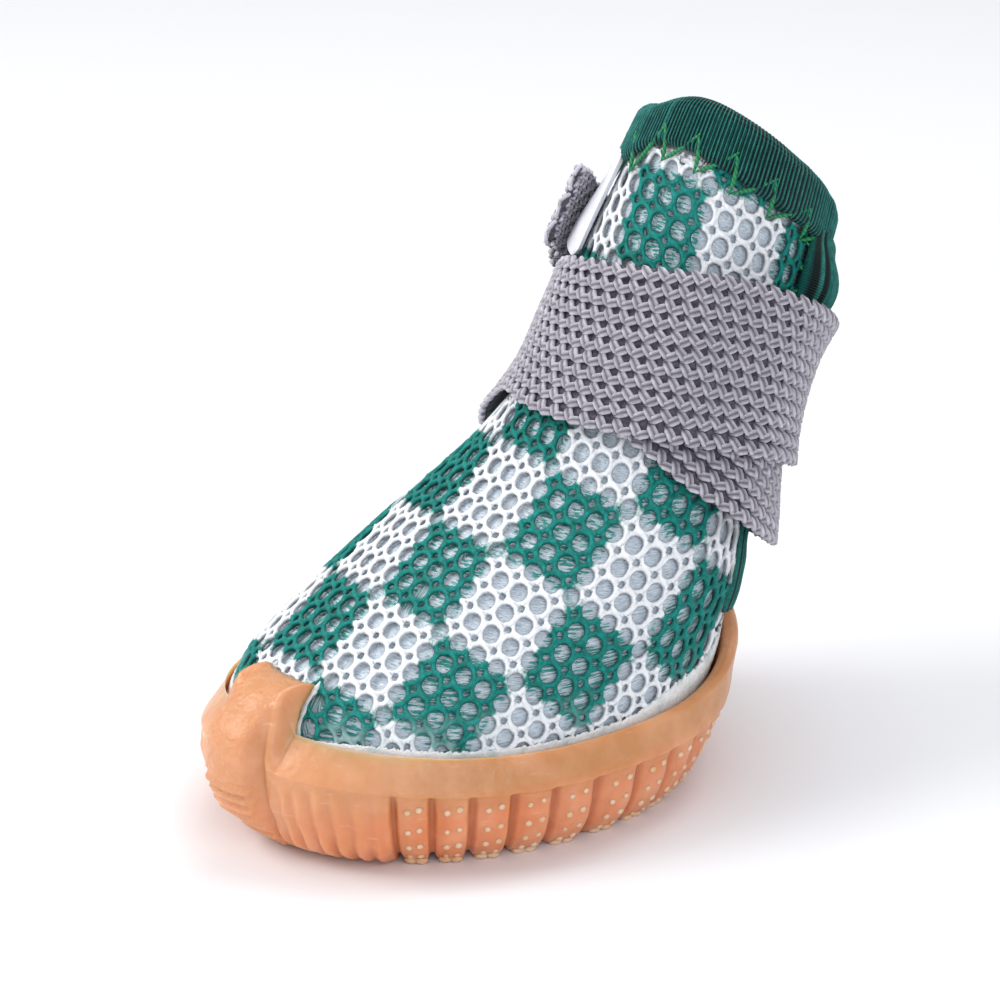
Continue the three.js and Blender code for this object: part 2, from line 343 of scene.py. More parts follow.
studio = {
    "world": 0.57,
    "worldColor": (0.97, 0.98, 1.0),
    "key": {"from": (-260, -330, 330), "size": 260, "power": 1.65, "color": (1.0, 0.99, 0.97)},
    "fill": {"from": (380, -160, 240), "size": 320, "power": 0.7, "color": (0.94, 0.96, 1.0)},
    "top": {"from": (-60, 150, 420), "size": 300, "power": 0.8, "color": (1.0, 1.0, 1.0)},
    "aim": (0, 0, 20),
    "floorColor": (0.86, 0.865, 0.89), "floorSize": 6,  # in metres
}


def makeStudio():
    scene = bpy.context.scene
    scene.view_settings.view_transform = "Standard"
    world = bpy.data.worlds.new("studio")
    world.use_nodes = True
    feed(world.node_tree.nodes["Background"], Color=(*studio["worldColor"], 1), Strength=studio["world"])
    scene.world = world
    for name in ("key", "fill", "top"):
        facts = studio[name]
        lamp = bpy.data.lights.new(name, "AREA")
        lamp.size = facts["size"] * mm
        lamp.energy = facts["power"]
        lamp.color = facts["color"]
        lampObject = bpy.data.objects.new(name, lamp)
        place = Vector(facts["from"])
        lampObject.location = place * mm
        lampObject.rotation_euler = (place - Vector(studio["aim"])).to_track_quat("Z", "Y").to_euler()
        scene.collection.objects.link(lampObject)
    deselectAll()
    bpy.ops.mesh.primitive_plane_add(size=studio["floorSize"], location=(0, 0, 0))
    floor = bpy.context.object
    floor.name = "floor"
    material, tree, shader = newMaterial("floorPaper", studio["floorColor"], 0.85)
    feed(shader, Specular_IOR_Level=0.2)
    floor.data.materials.append(material)


makeCamera()
makeStudio()
print("dog boot: camera, lights and floor")


upperWall = 1.6
lastBase = 2.9  # the upper's lower edge, on the cup's floor
lastSections = [
    # station, frontY, frontZ, backY, backZ, halfWidth, squareness, sideLift
    (0, -23, lastBase, 18.5, lastBase, 16.5, 2.2, 0),
    (3, -26, 5.3, 22, 5.6, 19, 2.2, 0),
    (6, -27.6, 8.2, 24.5, 8.8, 20.2, 2.2, 0),
    (10, -27.8, 12.5, 27, 13, 20.4, 2.2, 0),
    (14, -25, 17, 28.8, 17, 19.7, 2.2, 0),
    (19, -16.3, 22, 30.4, 20.8, 19, 2.15, 0),
    (25, -5.6, 27.7, 31.4, 25, 17.2, 2.1, 0.5),
    (31, 4, 32.7, 32.2, 29.2, 14.8, 2.1, 1),
    (38, 11.4, 39.3, 33.8, 34.5, 12.4, 2.1, 1.5),
    (46, 15.6, 46.6, 37, 40.3, 11.3, 2.1, 2),
    (54, 19.8, 54.2, 41.4, 45, 11, 2.1, 2),
    (61, 24, 61, 44.2, 48.5, 10.4, 2.1, 2.4),
    (67, 27.2, 66.4, 45.8, 51, 9.6, 2.1, 2.6),
]
toeTaper = 0.1
collar = {
    "station": 67, "tilt": 0.3, "peak": 2,
    "dip": 2.2, "dipAngle": math.radians(-30), "dipWidth": math.radians(28),
}


def lastPoint(station, angle, offset=0.0):  # on the upper's face, angle 0 at the front and pi / 2 at +X
    station, angle, offset = np.broadcast_arrays(station, angle, offset)
    section = rowAt(lastSections, station)
    frontY, frontZ, backY, backZ, halfWidth, squareness, sideLift = np.moveaxis(section[..., 1:], -1, 0)
    halfDepth = np.hypot(backY - frontY, backZ - frontZ) / 2
    along = -signedPower(np.cos(angle), 2 / squareness) * (1 + offset / halfDepth)
    across = signedPower(np.sin(angle), 2 / squareness)
    return np.stack([
        across * (halfWidth + offset) * (1 - toeTaper * np.cos(angle)),
        mix(frontY, backY, 0.5 + along / 2) - middleY,
        mix(frontZ, backZ, 0.5 + along / 2) + sideLift * across * across,
    ], -1)


def lastNormal(station, angle):
    sideways = lastPoint(station, angle + 0.02) - lastPoint(station, angle - 0.02)
    rising = lastPoint(station + 0.4, angle) - lastPoint(station - 0.4, angle)
    return unit(np.cross(sideways, rising))


def facePoint(station, angle, height):  # off the upper's face by a height along its normal
    return lastPoint(station, angle) + lastNormal(station, angle) * np.asarray(height)[..., None]


def collarEdge(angle):
    fromDip = np.arccos(np.cos(angle - collar["dipAngle"])) / collar["dipWidth"]
    peak = collar["peak"] * np.maximum(np.cos(angle), 0) ** 1.5
    tilt = collar["tilt"] * np.sin(angle)
    return collar["station"] + peak + tilt - collar["dip"] * np.exp(-fromDip * fromDip)


def stationAtHeight(angle, height):
    low, high = np.zeros(np.shape(angle)), np.full(np.shape(angle), float(collar["station"]))
    for halving in range(30):
        middle = (low + high) / 2
        below = lastPoint(middle, angle)[..., 2] < height
        low, high = np.where(below, middle, low), np.where(below, high, middle)
    return low


# the moulded cup sole
cup = {
    "halfLength": 30.8, "halfWidth": 22.7, "centreY": -0.2, "squareness": 2.15,
    "floor": 2.6, "clearance": 0.55, "tabClearance": 1.05, "tabSideClearance": 0.8,
    "seamShare": 0.9,  # how far the closing line underneath reaches towards the toe and the heel
    "columns": 800, "bottomRings": 6, "wallRings": 84, "rimRings": 6, "rimCrown": 0.42,
    "stripHalfAngle": 7.6, "tabHalfAngle": 11.5,  # of the raised strip over the toe, and of the tab above it
    "stripCrown": 0.75, "wrinkle": 0.1, "grain": 0.07, "toothPitch": 1.3, "toothDepth": 0.7,
    "edgeGroove": 0.3, "foxingLine": 0.1, "lumps": 0.09,
    "lugsFrom": 43, "lugPitch": 8.8, "lugDepth": 0.9, "treadDepth": 0.9,
    "padsFrom": 13, "padPitch": 5.2, "padDepth": 0.38, "scallops": 38, "scallopDepth": 0.75,
    "pimple": 0.37, "pimpleRows": 4, "pimplePitch": 0.78,
    "upperColor": (0.56, 0.25, 0.088), "lowerColor": (0.70, 0.215, 0.073), "toeColor": (0.70, 0.315, 0.145),
    "pimpleColor": (0.86, 0.44, 0.25), "pimpleLight": (0.93, 0.6, 0.42),
    "grooveShadeColor": (0.45, 0.11, 0.03), "mottleHighlightColor": (0.90, 0.49, 0.30), "scratchColor": (0.95, 0.78, 0.62),
}
cupProfile = [
    # row, toeInset, toeHeight, sideInset, sideHeight, heelInset, heelHeight, lug, tread
    (0, 13, 0, 9, 0, 14, 0, 0, 1),
    (1, 6.8, 0.3, 4.6, 0, 9.2, 0.2, 0.5, 1),
    (2, 4.2, 1.6, 3, 0.6, 7.6, 1.5, 1, 0.3),
    (3, 2, 3.8, 1.6, 2.4, 6, 3.9, 1, 0),
    (4, 0.5, 7, 0.6, 5, 4.4, 7, 1, 0),
    (5, 0, 10.3, 0.1, 7.8, 2.6, 10.8, 0.8, 0),
    (6, 0.3, 11.6, 0, 8.6, 2, 12, 0, 0),
    (7, 3, 14.2, 0.8, 11.6, 0.4, 16.4, 0, 0),
]
stripProfile = [
    # row, inset, height
    (0, 13, 0), (1, 6.5, 0.2), (2, 4, 1.3), (3, 1.6, 3.6), (4, -0.9, 6.2), (5, -2.3, 10.5), (6, -1.6, 14.4),
    (7, 2.2, 17.8),
]
topRow = cupProfile[-1][0]
rimHeights = {"toe": 14, "side": 11.6, "heel": 16.5, "tab": 18.3}


def aroundSole(angle, toe, side, heel, sharpness):
    front = np.maximum(np.cos(angle), 0) ** 2
    back = np.maximum(-np.cos(angle), 0) ** sharpness
    return toe * front + heel * back + side * (1 - front - back)


def stripShare(angle):
    edge = math.radians(cup["stripHalfAngle"])
    return 1 - smooth(edge - 0.02, edge + 0.03, fromFront(angle))


def tabShare(angle):
    edge = math.radians(cup["tabHalfAngle"])
    return 1 - smooth(edge - 0.03, edge + 0.05, fromFront(angle))


def lugShare(angle):  # the place within a lug, 0 to 1, and whether there are lugs at all
    beyond = (np.degrees(fromFront(angle)) - cup["lugsFrom"]) / cup["lugPitch"]
    return beyond % 1, smooth(-0.02, 0.1, beyond)


def grooveDepth(angle):  # a lug rises slowly to its rear edge and drops into the groove
    share, present = lugShare(angle)
    slot = window((-0.02, 0.07), (0.15, 0.27), share)
    pillow = 1 - np.sin(math.pi * np.clip((share - 0.2) / 0.8, 0, 1)) ** 0.6
    slope = 0.3 * window((0.15, 0.27), (0.3, 0.9), share)
    return present * (slot + slope + 0.22 * pillow * (1 - slot))


def frontPads(angle):  # faint upright pads between the toe strip and the lugs
    degreesRound = np.degrees(fromFront(angle))
    rise, fall = (cup["padsFrom"], cup["padsFrom"] + 4), (cup["lugsFrom"] - 5, cup["lugsFrom"])
    wave = 0.5 + 0.5 * np.cos(degreesRound / cup["padPitch"] * turn)
    return window(rise, fall, degreesRound) * wave ** 0.7


def outlinePoint(angle, inset, height):
    across = signedPower(np.sin(angle), 2 / cup["squareness"])
    along = signedPower(np.cos(angle), 2 / cup["squareness"])
    return np.stack([
        across * (cup["halfWidth"] - inset) * (1 - toeTaper * np.cos(angle)),
        cup["centreY"] - along * (cup["halfLength"] - inset) - middleY,
        height + 0 * angle,
    ], -1)


def seamPoint(angle, height):  # the line that the bottom, the cup's floor and the insole close on
    reach = cup["seamShare"] * (cup["halfLength"] - cupProfile[0][1])
    return np.stack([0 * angle, cup["centreY"] - reach * np.cos(angle) - middleY, height + 0 * angle], -1)


def wallRelief(row, angle, lug):  # how far the wall stands in from its plain shape
    toToe = fromFront(angle)
    swing = np.arctan2(np.sin(angle), np.cos(angle))
    lumps = ripple(swing * 23 + row, swing * 41 - 2 * row, row * 2.7 + swing * 9)
    lumps = lumps * smooth(0, 0.08, math.pi - abs(swing))  # none where the two sides meet at the heel
    scallop = np.abs(np.sin(toToe * cup["scallops"]))
    scallop = scallop * (1 - smooth(-0.1, 0, (np.degrees(toToe) - cup["lugsFrom"]) / cup["lugPitch"]))
    edge = (toToe - math.radians(cup["stripHalfAngle"] + 1.9)) / 0.017
    return (cup["lugDepth"] * grooveDepth(angle) * np.clip(lug, 0, 1)
            - cup["padDepth"] * frontPads(angle) * window((1.6, 2.4), (4.4, 5.2), row)
            - cup["scallopDepth"] * scallop * window((0.6, 1.2), (2.4, 3.6), row)
            - cup["foxingLine"] * (1 - stripShare(angle)) * window((5.5, 5.7), (5.9, 6.6), row)
            - cup["lumps"] * lumps * window((1, 2), (5, 6), row)
            + cup["edgeGroove"] * np.exp(-edge * edge) * window((0.8, 1.6), (6, 6.8), row))


def stripRelief(row, angle, height):  # teeth low down, and a crowned and wrinkled face above them
    swing = np.arctan2(np.sin(angle), np.cos(angle))
    teeth = 1 - 2 * np.abs(((height - 0.2) / cup["toothPitch"]) % 1 - 0.5)
    wrinkle = ripple(row * 5.1 + 14 * swing, row * 3.3 - 31 * swing, row * 7.3 + 6 * swing)
    grain = ripple(row * 13 + 55 * swing, row * 17 - 71 * swing, row * 9.5 + 93 * swing)
    crown = np.minimum(fromFront(angle) / math.radians(cup["stripHalfAngle"]), 1.2) ** 2
    face = cup["wrinkle"] * wrinkle + cup["grain"] * grain + cup["stripCrown"] * crown
    return face * smooth(3.4, 4.4, row) - cup["toothDepth"] * teeth * window((1.1, 1.8), (4.4, 5.2), row)


def outerCup(row, angle):
    toeInset, toeHeight, sideInset, sideHeight, heelInset, heelHeight, lug, tread = np.moveaxis(
        rowAt(cupProfile, row)[..., 1:], -1, 0)
    stripInset, stripHeight = np.moveaxis(rowAt(stripProfile, row)[..., 1:], -1, 0)
    inset = aroundSole(angle, toeInset, sideInset, heelInset, 2) + wallRelief(row, angle, lug)
    stripInset = stripInset + stripRelief(row, angle, stripHeight)
    raised = (rimHeights["tab"] - rimHeights["toe"]) * tabShare(angle) * smooth(5.2, topRow, row)
    groove = np.clip(grooveDepth(angle) * 1.6 - 0.5, 0, 1)  # the lugs' grooves run on underneath
    height = (aroundSole(angle, toeHeight, sideHeight, heelHeight, 4) + raised
              + cup["treadDepth"] * np.clip(tread, 0, 1) * groove)
    share = stripShare(angle)
    return outlinePoint(angle, mix(inset, stripInset, share), np.maximum(mix(height, stripHeight, share), 0))


def rimHeight(angle):
    plain = aroundSole(angle, rimHeights["toe"], rimHeights["side"], rimHeights["heel"], 4)
    return mix(plain, rimHeights["tab"], tabShare(angle))


def cupSurface():  # rings from the closing line underneath, up the outside and down the inside to the floor
    angles = np.arange(cup["columns"] + 1) / cup["columns"] * turn
    clearance = mix(cup["clearance"], cup["tabClearance"], stripShare(angles))
    besideTab = np.maximum(clearance, cup["tabSideClearance"])
    clearance = np.where(tabShare(angles) > 0.5, besideTab, clearance)
    rimStation = stationAtHeight(angles, rimHeight(angles))
    edge = outerCup(np.zeros_like(angles), angles)
    seam = seamPoint(angles, edge[:, 2])
    rings = [mix(seam, edge, share) for share in np.linspace(0, 1, cup["bottomRings"] + 1)[:-1]]
    for row in np.linspace(0, topRow, cup["wallRings"] + 1):
        rings.append(outerCup(np.full_like(angles, row), angles))
    outer, inner = rings[-1], lastPoint(rimStation, angles, clearance)
    for share in np.linspace(0, 1, cup["rimRings"] + 2)[1:-1]:
        rings.append(mix(outer, inner, share))
        rings[-1][:, 2] += cup["rimCrown"] * np.sin(math.pi * share) ** 0.8
    for share in (1, 0.85, 0.7, 0.55, 0.4, 0.26, 0.12):
        rings.append(lastPoint(rimStation * share, angles, clearance))
    foot = lastPoint(0.0, angles, cup["clearance"])
    foot[:, 2] = cup["floor"]
    return np.array(rings + [foot, seamPoint(angles, cup["floor"])])


def makeCup():
    rings = cupSurface()
    columns, last = cup["columns"], len(rings) - 1

    def place(across, up):
        return rings[np.rint(up * last).astype(int), np.rint(across * columns).astype(int)]

    piece = gridPiece("cupSole", columns, last, place)
    ringIndex = np.repeat(np.arange(last + 1), columns + 1)
    row = (ringIndex - cup["bottomRings"]) / cup["wallRings"] * topRow
    angle = np.tile(np.arange(columns + 1) / columns * turn, last + 1)
    groove = np.clip(grooveDepth(angle) * 1.3 - 0.25, 0, 1)
    outside = ringIndex < cup["bottomRings"] + cup["wallRings"] + cup["rimRings"] + 2
    # the groove share marks where the rubber gets painted shade inside the lugs' grooves
    setShare(piece, "groove", groove * window((0.5, 1.6), (4.7, 5.7), row))
    setShare(piece, "strip", stripShare(angle) * outside)
    return finishSolid(piece)


def rubberMaterial():
    material, tree, shader = newMaterial("gumRubber", cup["lowerColor"], 0.36)
    place = objectCoords(tree)
    parts = separate(tree, place)
    upShare = maths(tree, "MULTIPLY", parts["Z"], 1000 / 16.0)
    bands = ramp(tree, upShare, (0.38, cup["lowerColor"]), (0.6, cup["upperColor"]))
    ahead = ramp(tree, scaleAdd(tree, parts["Y"], -1000 / 14.0, -25 / 14.0), (0.0, 0.0), (1.0, 0.85))
    color = blendColors(tree, ahead, bands, cup["toeColor"])
    # pale noise blotches: partly the rubber's own mottling and partly painted highlight
    mottleHighlight = ramp(tree, noise(tree, place, 140, 3, 0.55), (0.42, 0.0), (0.68, 0.4))
    color = blendColors(tree, mottleHighlight, color, cup["mottleHighlightColor"])
    # painted shade: the lugs' grooves are darkened towards the groove shade colour
    groove = maths(tree, "MULTIPLY", shareOf(tree, "groove"), 0.75)
    color = blendColors(tree, groove, color, cup["grooveShadeColor"])
    scratch = noise(tree, place, 900, 2, 0.6, stretch=(0.35, 0.35, 1.6))
    color = blendColors(tree, ramp(tree, scratch, (0.66, 0.0), (0.84, 0.3)), color, cup["scratchColor"])
    feed(shader, Base_Color=color, Coat_Weight=0.25, Coat_Roughness=0.22,
         Roughness=ramp(tree, noise(tree, place, 320, 3, 0.6), (0.3, 0.3), (0.7, 0.5)))
    scatterLight(shader, 0.55, (1.0, 0.45, 0.22), 2.6)
    grain = noise(tree, place, 1400, 3, 0.6)
    rough = scaleAdd(tree, shareOf(tree, "strip"), 0.8, 0.25)  # the strip is coarser than the wall
    lumps = maths(tree, "MULTIPLY", noise(tree, place, 330, 2, 0.5), 1.6)
    bump(tree, shader, maths(tree, "ADD", maths(tree, "MULTIPLY", grain, rough), lumps), 0.7, 0.45)
    return material


def makePimples():
    # small moulded beads in two columns on every lug, and two teeth at its foot
    deselectAll()
    bpy.ops.mesh.primitive_uv_sphere_add(segments=8, ring_count=5, radius=1 * mm)
    bead = bpy.context.object
    beads = []  # angle, row and size
    count = int((180 - cup["lugsFrom"]) / cup["lugPitch"])
    for side in (1, -1):
        for lug in range(count):
            for column, share in enumerate((0.5, 0.8)):
                angle = side * math.radians(cup["lugsFrom"] + (lug + share) * cup["lugPitch"])
                for step in range(cup["pimpleRows"]):
                    row = 2.2 + cup["pimplePitch"] * step + 0.12 * column
                    beads.append((angle, row, cup["pimple"] * (1 + 0.12 * math.sin(5 * lug + 3 * step))))
                beads.append((angle, 1.5, cup["pimple"] * 2.1))
    angles, rows, sizes = np.array(beads).T
    side = unit(outerCup(rows, angles + 0.01) - outerCup(rows, angles - 0.01))
    rising = outerCup(rows + 0.05, angles) - outerCup(rows - 0.05, angles)
    outwards = unit(np.cross(side, rising))
    size = sizes[:, None]
    piece = repeatPiece("solePimples", bead, outerCup(rows, angles), side * size,
                        unit(np.cross(outwards, side)) * size, outwards * size * 0.6)
    points = readPoints(piece) / mm
    points[:, 2] = np.maximum(points[:, 2], 0.02)  # nothing reaches below the floor
    writePoints(piece, points)
    return piece


def pimpleMaterial():
    material, tree, shader = newMaterial("pimpleRubber", cup["pimpleColor"], 0.34)
    tone = noise(tree, objectCoords(tree), 300, 2, 0.5)
    feed(shader, Base_Color=ramp(tree, tone, (0.35, cup["pimpleColor"]), (0.7, cup["pimpleLight"])))
    scatterLight(shader, 0.5, (1.0, 0.45, 0.22), 2)
    return material


finishPiece(makeCup(), rubberMaterial(), "gum_rubber", "outsole")
finishPiece(makePimples(), pimpleMaterial(), "gum_rubber")


# where a flat piece of the upper's cloth lies on the last: v runs up the front, u to each side
cloth = {
    "footTurn": 46, "shaftTurn": 65, "bend": (24, 44),
    "cellU": (9.8, -0.5), "cellV": (-2.38, 11.2), "corner": (-7.97, 3.9),  # of the printed checks
    "holesToCheck": 4, "toeStation": 14,
}
clothStep = 0.5
aboveStrap = 44  # the station from which the checks start one over


def makeClothTable():  # at every height and width of the flat cloth, the angle and station on the last
    heights, widths = np.arange(-16, 72, clothStep), np.linspace(0, 66, 265)
    angles, stations = np.linspace(0, math.pi, 241), np.linspace(0, 75, 751)
    front = lastPoint(stations, 0.0)
    arc = np.r_[0, np.cumsum(np.linalg.norm(np.diff(front, axis=0), axis=1))]
    arc -= np.interp(cloth["toeStation"], stations, arc)
    frontStation = np.interp(heights, arc, stations)
    start = lastPoint(frontStation, 0.0)
    toe = lastPoint(cloth["toeStation"], 0.0)
    ahead = heights < 0  # there the cloth runs straight on past the toe
    start[ahead] = toe + heights[ahead, None] * unit(lastPoint(cloth["toeStation"] + 2, 0.0) - toe)
    steep = np.radians(mix(cloth["footTurn"], cloth["shaftTurn"], smooth(*cloth["bend"], frontStation)))
    across = np.stack([0 * steep, np.cos(steep), np.sin(steep)], -1)
    low, high = np.full((len(heights), len(angles)), -6.0), np.full((len(heights), len(angles)), 76.0)
    for halving in range(32):
        middle = (low + high) / 2
        beyond = ((lastPoint(middle, angles[None, :]) - start[:, None]) * across[:, None]).sum(-1)
        low, high = np.where(beyond < 0, middle, low), np.where(beyond < 0, high, middle)
    steps = np.linalg.norm(np.diff(lastPoint(low, angles[None, :]), axis=1), axis=-1)
    around = np.concatenate([np.zeros((len(heights), 1)), np.cumsum(steps, axis=1)], 1)
    angleAt = np.array([np.interp(widths, reached, angles, right=math.pi) for reached in around])
    stationAt = np.array([np.interp(widths, reached, level) for reached, level in zip(around, low)])
    return heights, widths, angleAt, stationAt


clothHeights, clothWidths, clothAngles, clothStations = makeClothTable()


def readTable(table, u, v):
    across = np.clip(np.abs(u) / clothWidths[1], 0, len(clothWidths) - 1.001)
    up = np.clip((v - clothHeights[0]) / clothStep, 0, len(clothHeights) - 1.001)
    column, row = across.astype(int), up.astype(int)
    lower = mix(table[row, column], table[row, column + 1], across - column)
    upper = mix(table[row + 1, column], table[row + 1, column + 1], across - column)
    return mix(lower, upper, up - row)


def clothToLast(u, v):
    angle = readTable(clothAngles, u, v) * np.where(u < 0, -1, 1)
    return readTable(clothStations, u, v), angle


def checkToCloth(first, second):  # from counts of checks each way to millimetres of cloth
    u = first * cloth["cellU"][0] + second * cloth["cellV"][0] + cloth["corner"][0]
    v = first * cloth["cellU"][1] + second * cloth["cellV"][1] + cloth["corner"][1]
    return u, v


# the open net on the outside of the upper
net = {
    "bigHole": 0.36, "smallHole": 0.15,  # radii, as shares of a hole's pitch
    "squares": (48, 34), "firstSquare": (-22, -8),  # the size of the sheet, counted in holes
    "crown": 0.3, "thickness": 0.5, "lift": -0.05, "wander": 0.07,
    "intoCup": 1.6, "underCollar": 1.5, "halfAngle": 136,
    "green": (0.0005, 0.14, 0.12), "greenSheen": (0.002, 0.28, 0.248), "white": (0.90, 0.92, 0.95),
    "shadedWhite": (0.78, 0.81, 0.86), "glue": (0.55, 0.66, 0.68),
}
strapHides = (36, 47.5)  # stations that the strap covers all the way round


def tileShape(angle, ringIndex):  # the three rings of points round one big hole, and how high they stand
    cosine, sine = math.cos(angle), math.sin(angle)
    onAxis, onDiagonal = abs(cosine * sine) < 0.001, abs(cosine * sine) > 0.499
    big = net["bigHole"] * np.array([cosine, sine])
    signs = np.sign(np.round([cosine, sine], 6))
    if onAxis:
        outer, height = 0.5 * signs, 1
    elif onDiagonal:
        outer, height = (0.5 - 0.72 * net["smallHole"]) * signs, 0.15
    else:
        nearer = 0.5 - net["smallHole"]
        outer, height = signs * ((0.5, nearer) if abs(cosine) > abs(sine) else (nearer, 0.5)), 0.35
    return ((*big, 0), (*(0.5 * (big + outer)), 0.72 if onAxis else 1), (*outer, height))[ringIndex]


def makeNetTile():  # a ring of sixteen points, extruded twice outwards to the edge of its square
    deselectAll()
    bpy.ops.mesh.primitive_circle_add(vertices=16, radius=1, fill_type="NOTHING")
    tile = bpy.context.object
    tile.name = "upperNet"
    grow = 1.5

    def widen():
        bpy.ops.transform.resize(value=(grow, grow, 1))

    editMesh(tile, bpy.ops.mesh.extrude_edges_move, widen, bpy.ops.mesh.extrude_edges_move, widen)
    points = readPoints(tile)
    for index, (x, y, z) in enumerate(points):
        ringIndex = round(math.log(math.hypot(x, y)) / math.log(grow))
        angle = round(math.atan2(y, x) / (math.pi / 8)) * math.pi / 8
        points[index] = tileShape(angle, ringIndex)
    writePoints(tile, points / mm)
    return tile


def repeatTile(piece, counts):
    makeActive(piece)
    for axis, count in enumerate(counts):
        bpy.ops.object.modifier_add(type="ARRAY")
        row = piece.modifiers[-1]
        row.count = count
        row.use_relative_offset = False
        row.use_constant_offset = True
        row.constant_offset_displace = [float(axis == other) for other in range(3)]
        row.use_merge_vertices = True
        row.merge_threshold = 0.01
        bpy.ops.object.modifier_apply(modifier=row.name)


def collarDepth(angle):
    return mix(4, 8, fromFront(angle) / math.pi)


def keepNet(first, second):  # whether a hole's square shows between the rim, the strap and the collar
    station, angle = clothToLast(*checkToCloth(first, second))
    low = stationAtHeight(angle, rimHeight(angle)) - net["intoCup"]
    high = collarEdge(angle) - collarDepth(angle) + net["underCollar"]
    front = np.cos(angle)
    underStrap = (station > strapHides[0] + 2.5 * front) & (station < strapHides[1])
    ahead = fromFront(angle) < math.radians(net["halfAngle"])
    return (station > low) & (station < high) & ~underStrap & ahead


def makeNet():
    piece = makeNetTile()
    repeatTile(piece, net["squares"])
    points = readPoints(piece)
    points[:, :2] += net["firstSquare"]
    writePoints(piece, points / mm)
    faces = piece.data.polygons
    centres = np.empty(len(faces) * 3, np.float32)
    faces.foreach_get("center", centres)
    square = np.rint(centres.reshape(-1, 3)[:, :2]) / cloth["holesToCheck"]
    editMesh(piece, lambda: bpy.ops.mesh.select_mode(type="FACE"), lambda: bpy.ops.mesh.delete(type="FACE"),
             chosen=~keepNet(square[:, 0], square[:, 1]))
    points = readPoints(piece)
    first, second = points[:, :2].T / cloth["holesToCheck"]
    u, v = checkToCloth(first, second)
    wanderU, wanderV = ripple(v * 1.9, u * 2.3 + v), ripple(u * 2.1, v * 1.7 - u)
    station, angle = clothToLast(u + net["wander"] * wanderU, v + net["wander"] * wanderV)
    setUv(piece, np.stack([first + (station > aboveStrap), second], -1))
    setShare(piece, "crown", points[:, 2])
    writePoints(piece, facePoint(station, angle, net["lift"] + net["crown"] * (points[:, 2] - 1)))
    return finishSheet(piece, net["thickness"])


def checkShare(tree, uvName="UVMap"):  # 1 on a green check and 0 on a white one, with a soft uneven edge
    place = uvCoords(tree, uvName)
    parts = separate(tree, place)
    across, up = (maths(tree, "SINE", maths(tree, "MULTIPLY", parts[axis], math.pi)) for axis in "XY")
    spread = scaleAdd(tree, noise(tree, place, 9, 3, 0.7), 0.34, 0.33)
    checks = maths(tree, "ADD", maths(tree, "MULTIPLY", across, up), spread)
    return ramp(tree, checks, (0.46, 0.0), (0.55, 1.0))


def netMaterial():
    material, tree, shader = newMaterial("checkedNet", net["white"], 0.68)
    place = objectCoords(tree)
    tone = noise(tree, place, 1500, 3, 0.6)
    green = ramp(tree, tone, (0.35, net["green"]), (0.7, net["greenSheen"]))
    white = ramp(tree, tone, (0.3, net["shadedWhite"]), (0.6, net["white"]))
    color = blendColors(tree, checkShare(tree), white, green)
    # painted shade: the net is darkened where its strands dip round the holes
    hollowShade = ramp(tree, shareOf(tree, "crown"), (0.0, 0.55), (0.6, 1.0))
    color = blendColors(tree, 1.0, color, hollowShade, "MULTIPLY")
    patches = ramp(tree, noise(tree, place, 260, 3, 0.6), (0.42, 0.0), (0.6, 0.7))
    color = blendColors(tree, maths(tree, "MULTIPLY", glueShare(tree, place), patches), color, net["glue"])
    feed(shader, Base_Color=color, Specular_IOR_Level=0.3, Sheen_Weight=0.06, Sheen_Roughness=0.4)
    bump(tree, shader, noise(tree, place, 2600, 2, 0.5, stretch=(1, 1, 0.35)), 0.8, 0.2)
    return material


def glueShare(tree, place):  # pale glue has crept up the cloth beside the toe strip and along the rim
    parts = separate(tree, place)
    low = ramp(tree, maths(tree, "MULTIPLY", parts["Z"], 1000 / 20.0), (0.66, 1.0), (0.84, 0.0))
    ahead = ramp(tree, maths(tree, "MULTIPLY", parts["Y"], -1000 / 40.0), (0.2, 0.35), (0.55, 1.0))
    return maths(tree, "MULTIPLY", low, ahead)


finishPiece(makeNet(), netMaterial(), "air_mesh", "upper")


# the fibrous cloth seen through the net's holes, and the lining inside
lining = {
    "lift": -0.85, "thickness": 0.7, "columns": 220, "rows": 110, "flatSize": (8.4, 6.2),
    "intoCup": 7, "underCollar": 0.6, "ruffle": 0.05,
    "color": (0.40, 0.44, 0.47),
    # of the fibres, from the gaps between them to the brightest
    "fibres": ((0.40, (0.30, 0.35, 0.39)), (0.48, (0.53, 0.62, 0.70)), (0.6, (0.67, 0.75, 0.84)),
               (0.70, (0.95, 0.97, 1.0))),
}


def nearestChecks(points):  # counts of checks at each point, from the nearest point of the cloth's table
    angles, stations = clothAngles[::2, ::2], clothStations[::2, ::2]
    tree = KDTree(angles.size)
    for index, point in enumerate(lastPoint(stations, angles).reshape(-1, 3)):
        tree.insert(point, index)
    tree.balance()
    nearest = np.array([tree.find((abs(x), y, z))[1] for x, y, z in points])
    grids = np.meshgrid(clothHeights[::2], clothWidths[::2], indexing="ij")
    v, u = (grid.ravel()[nearest] for grid in grids)
    u = u * np.where(points[:, 0] < 0, -1, 1)
    cells = np.array([cloth["cellU"], cloth["cellV"]])
    first, second = np.linalg.inv(cells.T) @ (np.stack([u, v]) - np.array(cloth["corner"])[:, None])
    return np.stack([first + (stations.ravel()[nearest] > aboveStrap), second], -1)


def makeLining():
    def place(across, up):
        angle = (across - 0.5) * turn
        rim = stationAtHeight(angle, rimHeight(angle))
        foot = np.maximum(rim - lining["intoCup"], 0.5)
        station = mix(foot, collarEdge(angle) - lining["underCollar"], up)
        ruffle = ripple(station * 2.2 + 9 * angle, station * 3.1 - 14 * angle)
        return facePoint(station, angle, lining["lift"] + lining["ruffle"] * ruffle)

    def flatAt(across, up):
        return across * lining["flatSize"][0], up * lining["flatSize"][1]

    piece = gridPiece("upperLining", lining["columns"], lining["rows"], place, flatAt, joined=True)
    setUv(piece, nearestChecks(readPoints(piece) / mm), "checks")
    return finishSheet(piece, lining["thickness"])


